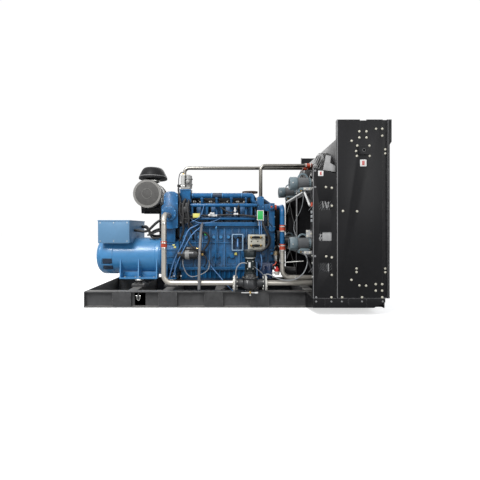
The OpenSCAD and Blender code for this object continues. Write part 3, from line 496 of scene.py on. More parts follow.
class Finishes:
    """All finishes of the set, built once."""

    recipes = (
        Paint(
            "engine_blue", (0.006, 0.095, 0.245), mottle=0.42, dust=0.03, coat=0.12, grain=180, coarse=0.5, bump=0.0003,
            gloss=0.36, edge_wear_and_highlight=0.8, edge_wear_and_highlight_tone=(0.13, 0.33, 0.56), crevice_shade=1.0),
        Paint("engine_bright", (0.035, 0.19, 0.41), low=0.26, high=0.45, dust=0.06, coat=0.3),
        Paint(
            "alternator_blue", (0.04, 0.195, 0.41), low=0.26, high=0.42, mottle=0.08, dust=0.08, coat=0.3, edge_wear_and_highlight=0.3,
            edge_wear_and_highlight_tone=(0.14, 0.3, 0.5)),
        Paint(
            "box_blue", (0.093, 0.212, 0.354), low=0.38, high=0.52, mottle=0.06, dust=0.08, grain=500, bump=0.0002,
            edge_wear_and_highlight=0.4, edge_wear_and_highlight_tone=(0.35, 0.48, 0.6)),
        Paint("skid_black", (0.05, 0.05, 0.051), low=0.34, high=0.52, mottle=0.3, dust=0.35, gloss=0.4, edge_wear_and_highlight=0.7),
        Paint(
            "sheet_black", (0.007, 0.007, 0.008), low=0.36, mottle=0.2, dust=0.06, grain=420, gloss=0.2, edge_wear_and_highlight=0.6,
            edge_wear_and_highlight_tone=(0.16, 0.16, 0.165)),
        Paint("cast_black", (0.012, 0.013, 0.015), mottle=0.2, dust=0.1, coat=0.3, coarse=0.7, bump=0.0004, edge_wear_and_highlight=0.4),
        Paint("motor_green", (0.005, 0.012, 0.014), low=0.28, high=0.42, coat=0.1, gloss=0.35, dust=0.25),
        Paint("motor_dark", (0.1, 0.105, 0.11), low=0.35, dust=0.15),
        Paint("cowl_grey", (0.15, 0.2, 0.225), low=0.4, high=0.55, dust=0.12, edge_wear_and_highlight=0.3, edge_wear_and_highlight_tone=(0.4, 0.45, 0.47)),
        Paint("cleaner_grey", (0.12, 0.118, 0.112), low=0.35, dust=0.15, edge_wear_and_highlight=0.4, edge_wear_and_highlight_tone=(0.4, 0.39, 0.36)),
        Paint("tube_steel", (0.47, 0.445, 0.395), high=0.44, dust=0.0, metal=0.65, grain=400),
        Paint("cleaner_shaded_grey", (0.06, 0.058, 0.055), high=0.45, mottle=0.2, dust=0.1),
        Paint("valve_cast", (0.27, 0.27, 0.26), low=0.35, mottle=0.2, coarse=0.5, bump=0.0003, crevice_shade=0.6),
        Paint("hose_grey", (0.13, 0.13, 0.135), high=0.45),
        Paint("cleaner_lit_grey", (0.18, 0.175, 0.165), low=0.35, dust=0.15),
        Paint("cap_rim", (0.16, 0.16, 0.16), high=0.45, dust=0.2),
        Paint("plastic_black", (0.007, 0.007, 0.008), low=0.42, high=0.6, dust=0.02, grain=700, gloss=0.18),
        Paint("rubber_black", (0.01, 0.01, 0.011), low=0.5, high=0.7, dust=0.12, grain=500),
        Paint("band_dark", (0.01, 0.026, 0.055), high=0.45),
        Paint("filter_navy", (0.007, 0.022, 0.075), low=0.2, high=0.32, coat=0.6),
        Paint("filter_band", (0.02, 0.05, 0.13), high=0.4),
        Paint("cream", (0.44, 0.43, 0.37), low=0.35, dust=0.1),
        Paint("hose_red", (0.42, 0.055, 0.022), low=0.38, high=0.52, coat=0.1, grain=350),
        Paint("tag_yellow", (0.6, 0.56, 0.14), low=0.4),
        Paint("board_green", (0.03, 0.42, 0.09), low=0.35, dust=0.0),
        Paint("plate_white", (0.62, 0.62, 0.61), low=0.35),
        Paint("plate_mark", (0.42, 0.1, 0.09), low=0.35),
        Paint("bolt_cream", (0.5, 0.48, 0.4), high=0.45, dust=0.1, mottle=0.2),
        Paint("edge_grey", (0.2, 0.2, 0.205), high=0.45, mottle=0.3, dust=0.1),
        Paint("flange_pale", (0.55, 0.54, 0.5), low=0.35, dust=0.1, mottle=0.15),
        Paint("galv_pale", (0.3, 0.3, 0.3), low=0.35, mottle=0.25),
        Paint("cap_red", (0.5, 0.03, 0.03), high=0.45),
        Paint(
            "rust_brown", (0.085, 0.05, 0.032), low=0.6, high=0.85, mottle=0.4, dust=0.1, metal=0.2, coarse=0.8,
            bump=0.0008),
        Paint("line_blue", (0.09, 0.22, 0.46), high=0.45),
        Paint("frame_pale", (0.26, 0.4, 0.56), high=0.45),
        Paint("line_grey", (0.26, 0.27, 0.28), low=0.35),
        Metal("vent_steel", (0.24, 0.23, 0.21), tint=(0.15, 0.14, 0.12), low=0.24, high=0.4),
        Metal("bright_zinc", (0.66, 0.66, 0.63), tint=(0.45, 0.45, 0.42), low=0.24, high=0.42),
        Metal("cast_aluminium", (0.58, 0.58, 0.55), tint=(0.38, 0.37, 0.34), low=0.3, high=0.5, bump=0.0003),
        Metal("brass", (0.62, 0.42, 0.15), tint=(0.4, 0.26, 0.1), low=0.22, high=0.4),
        Metal("brass_dull", (0.36, 0.29, 0.19), tint=(0.25, 0.19, 0.12), low=0.35, high=0.5),
        Metal("fin_metal", (0.12, 0.12, 0.125), tint=(0.06, 0.06, 0.06), low=0.4, high=0.6),
    )

    slots = {
        "engine_blue": "blue_paint", "engine_bright": "blue_paint", "alternator_blue": "blue_paint",
        "box_blue": "light_blue_paint", "skid_black": "black_paint", "sheet_black": "black_paint",
        "cast_black": "black_iron", "motor_green": "black_iron", "cowl_grey": "grey_plastic",
        "cleaner_grey": "grey_plastic", "plastic_black": "black_plastic", "rubber_black": "rubber",
        "filter_navy": "navy_paint", "cream": "cream_paint", "hose_red": "red_silicone", "tube_steel": "stainless",
        "vent_steel": "stainless", "valve_cast": "cast_aluminium", "bright_zinc": "galvanised",
        "cast_aluminium": "cast_aluminium", "fin_metal": "fin_aluminium", "rust_brown": "rusty_iron",
    }

    def __init__(self) -> None:
        """Builds every finish."""
        effects = Effects()
        self.made = {recipe.name: recipe.build(effects) for recipe in self.recipes}

    def __getitem__(self, name: str) -> bpy.types.Material:
        """Returns a finish by name."""
        return self.made[name]


class Shop:
    """Modelling steps that every sub-assembly uses."""

    def __init__(self, frame: dict, finishes: Finishes) -> None:
        """Keeps the frame and the finishes.

        Args:
            finishes: Built finishes.
        """
        self.nodes = frame["nodes"]
        self.finishes = finishes
        self.count = 0

    def only(self, *objects: Piece) -> None:
        """Selects some objects and nothing else.

        Args:
            *objects: What is selected, the active one first.
        """
        bpy.ops.object.select_all(action="DESELECT")
        for one in objects:
            one.select_set(True)
        bpy.context.view_layer.objects.active = objects[0]

    def named(self, name: str) -> Piece:
        """Names the piece that the last step left active.

        Args:
            name: Its name.

        Returns:
            The piece.
        """
        piece = bpy.context.object
        piece.name = name
        return piece

    def open_mesh(self, piece: Piece) -> None:
        """Opens a piece for mesh work with all of it selected.

        Args:
            piece: What is worked on.
        """
        self.only(piece)
        bpy.ops.object.mode_set(mode="EDIT")
        bpy.ops.mesh.select_all(action="SELECT")

    def settle(self, piece: Piece) -> Piece:
        """Moves a piece's place into its mesh.

        Args:
            piece: Any mesh object.

        Returns:
            The same piece.
        """
        self.only(piece)
        bpy.ops.object.transform_apply(location=True, rotation=True, scale=True)
        return piece

    def block(self, name: str, low: Point, high: Point, round_by: float = 0.002) -> Piece:
        """Makes a box with softened edges.

        Args:
            name: Piece name.
            low: Lowest corner.
            high: Highest corner.
            round_by: Radius of its edges.

        Returns:
            The new mesh object.
        """
        middle = (Vector(low) + Vector(high)) / 2
        bpy.ops.mesh.primitive_cube_add(size=1, location=middle)
        piece = self.named(name)
        piece.scale = Vector(high) - Vector(low)
        self.settle(piece)
        return self.bevel(piece, round_by)

    def bevel(self, piece: Piece, width: float, angle: float = 40.0) -> Piece:
        """Rounds a piece's sharp edges.

        Args:
            piece: Any mesh object.
            width: Radius of its edges.
            angle: Degrees from which an edge counts as sharp.

        Returns:
            The same piece.
        """
        self.only(piece)
        soft = piece.modifiers.new("soft", "BEVEL")
        soft.width, soft.segments, soft.limit_method = width, 2, "ANGLE"
        soft.angle_limit = math.radians(angle)
        bpy.ops.object.modifier_apply(modifier="soft")
        bpy.ops.object.shade_smooth_by_angle(angle=SMOOTH_BELOW)
        return piece

    def lathe(self, name: str, profile: Profile, place: Point = (0, 0, 0), axis: Axis = UP, steps: int = 32) -> Piece:
        """Spins a profile into a closed round piece.

        Args:
            name: Piece name.
            profile: Radius and height of each step, from the foot up.
            place: Where height 0 lies.
            axis: Direction of the height.
            steps: Faces round it.

        Returns:
            The new mesh object.
        """
        bpy.ops.mesh.primitive_circle_add(
            vertices=steps, radius=profile[0][0], fill_type="NGON", location=(0, 0, profile[0][1]))
        piece = self.named(name)
        self.open_mesh(piece)
        last = profile[0]
        for radius, height in profile[1:]:
            bpy.ops.mesh.extrude_region_move(TRANSFORM_OT_translate={"value": (0, 0, height - last[1])})
            factor = radius / last[0]
            bpy.ops.transform.resize(value=(factor, factor, 1), center_override=(0, 0, 0))
            last = (radius, height)
        bpy.ops.mesh.select_all(action="SELECT")
        bpy.ops.mesh.normals_make_consistent(inside=False)
        bpy.ops.object.mode_set(mode="OBJECT")
        bpy.ops.object.shade_smooth_by_angle(angle=SMOOTH_BELOW)
        piece.matrix_world = Matrix.Translation(place) @ axis.matrix()
        return self.settle(piece)

    def cable(self, name: str, points: list[Point], radius: float, sides: int = 3, smooth: bool = True) -> Piece:
        """Lays a round cable or pipe along points.

        Args:
            name: Piece name.
            points: Route of the centre line.
            radius: Radius of the cable.
            sides: Bevel resolution.
            smooth: True for a flowing route, False for straight runs.

        Returns:
            The new mesh object.
        """
        curve = bpy.data.curves.new(name, "CURVE")
        curve.dimensions = "3D"
        curve.bevel_depth, curve.bevel_resolution, curve.use_fill_caps = radius, sides, True
        spline = curve.splines.new("NURBS" if smooth else "POLY")
        spline.points.add(len(points) - 1)
        for point, place in zip(spline.points, points):
            point.co = (*place, 1)
        if smooth:
            spline.order_u, spline.use_endpoint_u, spline.resolution_u = min(4, len(points)), True, 8
        piece = bpy.data.objects.new(name, curve)
        bpy.context.collection.objects.link(piece)
        self.only(piece)
        bpy.ops.object.convert(target="MESH")
        piece = bpy.context.object
        bpy.ops.object.shade_smooth_by_angle(angle=math.radians(50))
        return piece

    def hoop(
        self, name: str, inner: float, outer: float, height: float, place: Point = (0, 0, 0), axis: Axis = UP,
        steps: int = 40) -> Piece:
        """Makes a closed ring of square section.

        Args:
            name: Piece name.
            inner: Radius of its hole.
            outer: Outer radius.
            height: Its height.
            place: Middle of its foot.
            axis: Direction of the height.
            steps: Faces round it.

        Returns:
            The new mesh object.
        """
        bpy.ops.mesh.primitive_circle_add(vertices=steps, radius=inner, fill_type="NOTHING")
        piece = self.named(name)
        self.open_mesh(piece)
        bpy.ops.mesh.select_mode(type="EDGE")
        bpy.ops.mesh.select_all(action="SELECT")
        for grow, rise in ((outer / inner, 0.0), (1.0, height), (inner / outer, 0.0)):
            bpy.ops.mesh.extrude_edges_move(TRANSFORM_OT_translate={"value": (0, 0, rise)})
            if grow != 1.0:
                bpy.ops.transform.resize(value=(grow, grow, 1), center_override=(0, 0, 0))
        bpy.ops.mesh.select_all(action="DESELECT")
        bpy.ops.mesh.select_non_manifold()
        bpy.ops.mesh.bridge_edge_loops()
        bpy.ops.mesh.select_all(action="SELECT")
        bpy.ops.mesh.normals_make_consistent(inside=False)
        bpy.ops.mesh.select_mode(type="VERT")
        bpy.ops.object.mode_set(mode="OBJECT")
        bpy.ops.object.shade_smooth_by_angle(angle=SMOOTH_BELOW)
        piece.matrix_world = Matrix.Translation(place) @ axis.matrix()
        return self.settle(piece)

    def swing(self, piece: Piece, centre: Point, axis: str, degrees: float) -> Piece:
        """Turns a piece about a line through a point.

        Args:
            piece: Piece whose place is in its mesh.
            centre: A point of the line.
            axis: X, Y or Z.
            degrees: The turn.

        Returns:
            The same piece.
        """
        turn = Matrix.Rotation(math.radians(degrees), 4, axis)
        piece.matrix_world = Matrix.Translation(centre) @ turn @ Matrix.Translation(-Vector(centre))
        return self.settle(piece)

    def fit(self, name: str, low: Point, high: Point, finish: str, round_by: float = 0.002) -> Piece:
        """Makes and dresses a soft edged box."""
        return self.dress(self.block(name, low, high, round_by), finish)

    def hose(
        self, name: str, points: list[Point], radius: float, finish: str = "rubber_black",
        smooth: bool = True) -> Piece:
        """Lays and dresses a cable or pipe."""
        return self.dress(self.cable(name, points, radius, 3, smooth), finish)

    def turned(self, name: str, profile: Profile, place: Point, axis: Axis, finish: str, steps: int = 32) -> Piece:
        """Spins and dresses a round piece."""
        return self.dress(self.lathe(name, profile, place, axis, steps), finish)

    def collar(
        self, name: str, inner: float, outer: float, height: float, place: Point, axis: Axis, finish: str,
        steps: int = 40) -> Piece:
        """Makes and dresses a closed ring."""
        return self.dress(self.hoop(name, inner, outer, height, place, axis, steps), finish)

    def spread(self, name: str, pattern: Piece, places: Places, finish: str) -> Piece:
        """Copies a small piece to many places and dresses the copies."""
        return self.dress(self.copies(name, pattern, places), finish)

    def bands(self, name: str, places: Places, radius: float, finish: str = "bright_zinc") -> Piece:
        """Sets worm drive hose clamps.

        Args:
            name: Name of the joined piece.
            places: Middle of each clamp and the way its pipe runs.
            radius: Radius of what they hold.
            finish: Their finish.

        Returns:
            The joined mesh object.
        """
        strap = self.hoop("strap", radius - 0.0002, radius + 0.0016, 0.012, (0, 0, -0.006), UP, 36)
        worm = self.block("worm", (-0.012, -radius - 0.01, -0.007), (0.012, -radius - 0.0005, 0.007), 0.002)
        screw = self.lathe(
            "screw", [(0.0045, 0), (0.0045, 0.006), (0.003, 0.007)], (0.0118, -radius - 0.005, 0), RIGHT, 8)
        return self.spread(name, self.merge("clamp", strap, worm, screw), places, finish)

    def two_tone(self, piece: Piece, finish: str, height: float) -> Piece:
        """Paints a piece's upper part in a second finish.

        Args:
            piece: Dressed mesh object.
            finish: Finish of the upper part.
            height: Where it begins.

        Returns:
            The same piece.
        """
        self.open_mesh(piece)
        bpy.ops.mesh.bisect(plane_co=(0, 0, height), plane_no=(0, 0, 1))
        bpy.ops.object.mode_set(mode="OBJECT")
        self.zone(piece, finish, lambda spot: spot.z > height)
        return piece

    def zone(self, piece: Piece, finish: str, inside: Callable[[Vector], bool]) -> None:
        """Paints the faces that pass a test in a second finish.

        Args:
            piece: Dressed mesh object.
            finish: Finish of the chosen faces.
            inside: Tells from a face's middle whether it is chosen.
        """
        piece.data.materials.append(self.finishes[finish])
        for face in piece.data.polygons:
            face.material_index = int(inside(face.center))

    def copies(self, name: str, pattern: Piece, places: Places) -> Piece:
        """Copies a small piece to many places and joins the copies.

        Args:
            name: Name of the joined piece.
            pattern: Piece modelled at the origin, pointing up; it is removed.
            places: Where each copy goes and how it points.

        Returns:
            The joined mesh object.
        """
        made = []
        for place, axis in places:
            one = pattern.copy()
            one.data = pattern.data.copy()
            one.matrix_world = Matrix.Translation(place) @ axis.matrix()
            bpy.context.collection.objects.link(one)
            made.append(one)
        bpy.data.objects.remove(pattern)
        bpy.context.view_layer.update()
        return self.settle(self.merge(name, *made))

    def merge(self, name: str, *pieces: Piece) -> Piece:
        """Joins pieces into one object.

        Args:
            name: Name of the joined piece.
            *pieces: What is joined.

        Returns:
            The joined mesh object.
        """
        self.only(*pieces)
        bpy.ops.object.join()
        return self.named(name)

    def hex_bolt(self, across: float = 0.018, height: float = 0.01) -> Piece:
        """Models one hexagon bolt head on its washer, at the origin.

        Args:
            across: Width of the head.
            height: Height of the head.

        Returns:
            The new mesh object, pointing up.
        """
        washer = self.lathe("washer", [
            (across * 0.8, 0), (across * 0.8, height * 0.22), (across * 0.72, height * 0.28)], steps=14)
        head = self.lathe("head", [
            (across * 0.56, height * 0.25), (across * 0.56, height * 0.85), (across * 0.46, height)], steps=6)
        return self.merge("bolt", head, washer)

    def bolts(
        self, name: str, places: Places, across: float = 0.018, height: float = 0.01,
        finish: str = "bright_zinc") -> Piece:
        """Sets bolt heads at places and dresses them."""
        return self.spread(name, self.hex_bolt(across, height), places, finish)

    def dress(self, piece: Piece, finish: str) -> Piece:
        """Gives a new piece its finish and lets it ride on the set.

        Args:
            piece: The finished mesh object.
            finish: Name of the finish.

        Returns:
            The same piece.
        """
        piece.data.materials.clear()
        piece.data.materials.append(self.finishes[finish])
        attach(piece, "root")
        self.count += 1
        return piece

    def paint_node(self, node: str, finish: str) -> None:
        """Gives a CAD node a finish where its shape is right already.

        Args:
            node: Name of the CAD node.
            finish: Name of the finish.
        """
        target = self.nodes[node]
        if not target.material_slots:
            target.data.materials.append(self.finishes[finish])
        for slot in target.material_slots:
            slot.material = self.finishes[finish]

    def softened(self, node: str, finish: str, width: float = 0.002) -> Piece:
        """Replaces a node by a merged copy whose edges are rounded.

        Args:
            node: Name of the CAD node.
            finish: Name of the finish.
            width: Radius of the edges.

        Returns:
            The new piece.
        """
        source = self.nodes[node]
        piece = source.copy()
        piece.data = source.data.copy()
        piece.name = node + "_skin"
        piece.parent = None
        bpy.context.collection.objects.link(piece)
        piece.matrix_world = source.matrix_world.copy()
        self.open_mesh(self.settle(piece))
        bpy.ops.mesh.remove_doubles(threshold=0.00002)
        bpy.ops.mesh.dissolve_limited(angle_limit=math.radians(1.0))
        bpy.ops.object.mode_set(mode="OBJECT")
        if width:
            self.bevel(piece, width, 42.0)
        bpy.ops.object.shade_smooth_by_angle(angle=SMOOTH_BELOW)
        self.dress(piece, finish)
        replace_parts(piece, node)
        return piece


def ring(centre: Point, radius: float, count: int, axis: Axis, start: float = 0.0) -> Places:
    """Places round a circle.

    Args:
        centre: Middle of the circle.
        radius: Its radius.
        count: How many places.
        axis: Direction that each place faces.
        start: Angle of the first, in degrees.

    Returns:
        Place and direction of each.
    """
    turn = axis.matrix()
    made = []
    for i in range(count):
        angle = math.radians(start + 360 * i / count)
        spot = Vector(centre) + turn @ Vector((radius * math.cos(angle), radius * math.sin(angle), 0))
        made.append((tuple(spot), axis))
    return made


def grid(axis: Axis, xs: Iterable[float], ys: Iterable[float], zs: Iterable[float]) -> Places:
    """Places on a grid.

    Args:
        axis: Direction that each place faces.
        xs: Places along X.
        ys: Places along Y.
        zs: Places along Z.

    Returns:
        Place and direction of each, Z changing first.
    """
    return [((x, y, z), axis) for x in xs for y in ys for z in zs]


def seen(across: float, down: float, depth: float) -> Point:
    """Lays a spot of the side view on an upright plane.

    Args:
        across: Pixels from the left of the 480 by 480 view.
        down: Pixels from its top.
        depth: The plane's Y.

    Returns:
        The spot in metres.
    """
    scale = FOCAL_PX / (depth - EYE[1])
    return (EYE[0] + (across - AXIS_PX[0]) / scale, depth, EYE[2] + (AXIS_PX[1] - down) / scale)


@dataclass
class Assembly:
    """A group of pieces and the shop that makes them."""

    shop: Shop


@dataclass
class Skid(Assembly):
    """Skid rails, cross members, outriggers and mounts."""

    mounts: tuple[tuple[float, float], ...] = ((-1.1615, 0.225), (-0.7445, 0.225), (0.302, 0.262))
    pad_z: float = 0.224
    foot_under: float = 0.29
    foot_top: float = 0.306
    outrigger_y: float = 0.92
    outrigger_bolts: tuple[float, ...] = (0.928, 1.089, 1.199, 1.413, 1.632)
    pocket_x: float = -1.371
    pocket_pitch: float = 0.541
    pocket_width: float = 0.211

    def build(self) -> None:
        """Dresses the skid and adds its bolts."""
        shop = self.shop
        for node in ("skid_rail_near", "skid_rail_far", "skid_cross_members"):
            shop.softened(node, "skid_black", 0.0015)
        for node in ("outriggers_near", "outriggers_far"):
            shop.softened(node, "sheet_black", 0.0015)
        shop.softened("vibration_mounts", "rubber_black", 0.002)
        self._mount_fittings()
        self._welds()
        self._shackles()
        depth = self.outrigger_y + 0.0003
        places = [((x, side * depth, 0.158), outward) for x in self.outrigger_bolts for side, _, outward in SIDES]
        shop.bolts("outrigger_bolts", places, 0.013, 0.007, "edge_grey")

    def _mount_fittings(self) -> None:
        """Adds steel cups, nuts and pad bolts at the six mounts."""
        shop = self.shop
        spots = [(x, side * y) for x, y in self.mounts for side in (-1, 1)]
        cup = shop.lathe("cup", [(0.052, 0), (0.053, 0.003), (0.052, 0.013), (0.047, 0.0225)], steps=28)
        shop.spread("mount_cups", cup, [((x, y, self.foot_under - 0.0232), UP) for x, y in spots], "bright_zinc")
        shop.bolts("mount_nuts", [((x, y, self.foot_top), UP) for x, y in spots], 0.03, 0.018)
        pads = [((x + i * 0.064, y + j * 0.041, self.pad_z), UP) for x, y in spots for i in (-1, 1) for j in (-1, 1)]
        shop.bolts("mount_pad_bolts", pads, 0.018, 0.01)

    def _welds(self) -> None:
        """Runs weld beads down the edges of the fork pockets."""
        shop = self.shop
        bead = shop.lathe("bead", [
            (0.003, 0), (0.004, 0.02), (0.0028, 0.05), (0.004, 0.09), (0.003, 0.13), (0.0035, 0.158)], steps=8)
        edges = [self.pocket_x + self.pocket_pitch * i + j * self.pocket_width for i in range(4) for j in (0, 1)]
        shop.spread("pocket_welds", bead, grid(UP, edges, (-0.5575, 0.5575), (0.016,)), "skid_black")

    def _shackles(self) -> None:
        """Hangs a bright shackle in the lashing plate of each rail."""
        shop = self.shop
        for side, name, _ in SIDES:
            y = side * 0.54
            bow = [(x - 1.072, y, z) for x, z in (
                (-0.017, 0.133), (-0.019, 0.112), (-0.016, 0.09), (0.0, 0.078), (0.016, 0.09), (0.019, 0.112),
                (0.017, 0.133))]
            bail = shop.cable("bow", bow, 0.0052, 3)
            pin = shop.lathe("pin", [
                (0.011, 0), (0.011, 0.006), (0.006, 0.007), (0.006, 0.042), (0.009, 0.043),
                (0.009, 0.05)], (-1.097, y, 0.133), RIGHT, 16)
            low, high = sorted((side * 0.516, side * 0.554))
            shop.fit("lashing_lug_" + name, (-1.078, low, 0.092), (-1.066, high, 0.16), "skid_black", 0.001)
            # Dark plate on the rail web where the opening lies in shade: painted shade.
            low, high = sorted((side * 0.515, side * 0.5185))
            shop.fit("web_shade_patch_" + name, (-1.124, low, 0.018), (-0.994, high, 0.172), "plastic_black", 0.0006)
            shop.dress(shop.merge("shackle_" + name, bail, pin), "bright_zinc")


@dataclass
class Alternator(Assembly):
    """Alternator frame, its covers, box and loom."""

    slot_angles: tuple[float, ...] = (13.0, 35.0)
    flange_bolts: int = 16
    box_front: float = 0.3243

    def build(self) -> None:
        """Dresses the alternator and adds bolts, screens and leads."""
        shop = self.shop
        for node in ("alternator_frame", "alternator_end_cover", "alternator_adapter"):
            shop.softened(node, "alternator_blue", 0.002)
        shop.softened("terminal_box", "box_blue", 0.003)
        shop.softened("cable_loom", "rubber_black", 0.0)
        self._bolts()
        self._screens()
        self._foot_webs()
        self._leads()

    def _bolts(self) -> None:
        """Sets the flange, cover and lid bolts."""
        shop = self.shop
        shop.bolts("adapter_bolts", ring((-0.854, 0, SHAFT_Z), 0.279, self.flange_bolts, LEFT, 11), 0.019, 0.011)
        shop.bolts("end_cover_bolts", ring((-1.713, 0, SHAFT_Z), 0.196, 10, LEFT, 18), 0.016, 0.009)
        shop.bolts("bearing_cap_bolts", ring((-1.7268, 0, SHAFT_Z), 0.076, 6, LEFT, 30), 0.012, 0.006)
        lid = []
        for side, _, outward in SIDES:
            lid += grid(outward, (-1.62, -1.4515, -1.283), (side * self.box_front,), (0.772, 1.0))
        shop.bolts("terminal_box_screws", lid, 0.009, 0.004)
        feet = grid(UP, (-1.35, -1.215, -0.975), (-0.212, 0.212), (0.306,))
        shop.bolts("alternator_foot_bolts", feet, 0.02, 0.012)

    def _screens(self) -> None:
        """Puts dark screens behind the louvres."""
        shop = self.shop
        panels = []
        for side in (-1, 1):
            for angle in self.slot_angles:
                low, high = sorted((side * 0.244, side * 0.2488))
                parts = [shop.block("panel", (-1.626, low, SHAFT_Z - 0.033), (-1.506, high, SHAFT_Z + 0.033), 0.001)]
                low, high = sorted((side * 0.248, side * 0.2512))
                for i in range(6):
                    z = SHAFT_Z - 0.027 + 0.0108 * i
                    parts.append(shop.block("slat", (-1.619, low, z - 0.0018), (-1.513, high, z + 0.0018), 0.0007))
                panels.append(shop.swing(shop.merge("louvre", *parts), (0, 0, SHAFT_Z), "X", -side * angle))
        shop.dress(shop.merge("louvre_panels", *panels), "band_dark")

    def _foot_webs(self) -> None:
        """Closes the feet between their ribs."""
        shop = self.shop
        for side, name, _ in SIDES:
            low, high = sorted((side * 0.138, side * 0.145))
            shop.fit("foot_web_" + name, (-1.396, low, 0.3045), (-0.927, high, 0.3675), "alternator_blue", 0.001)

    def _leads(self) -> None:
        """Loops the black power leads from the box over to the air housing."""
        shop = self.shop
        path = (
            (-1.2535, 0.952), (-1.19, 0.955), (-1.127, 0.937), (-1.077, 0.874), (-1.026, 0.826), (-0.976, 0.812),
            (-0.899, 0.824), (-0.824, 0.861), (-0.772, 0.892), (-0.811, 0.915), (-0.899, 0.915), (-0.976, 0.899),
            (-1.038, 0.861), (-1.077, 0.842))
        for i, (y, drop, thick) in enumerate(((0.2, 0.0, 0.012), (0.235, 0.02, 0.0105), (0.262, -0.014, 0.011))):
            aside = [y + (-0.085 - 0.035 * i - y) * min(1.0, k / 4) for k in range(len(path))]
            route = [
                (x, aside[k] - 0.012 * math.sin(k), z + (drop if 0 < k < 13 else 0.0)) for k, (x, z) in enumerate(path)]
            shop.hose(f"power_lead_{i}", route, thick)
            gland = [(thick + 0.008, 0), (thick + 0.008, 0.01), (thick + 0.004, 0.016), (thick + 0.004, 0.026)]
            shop.turned(f"power_gland_{i}", gland, (-1.2545, y, 0.952), RIGHT, "plastic_black", 12)


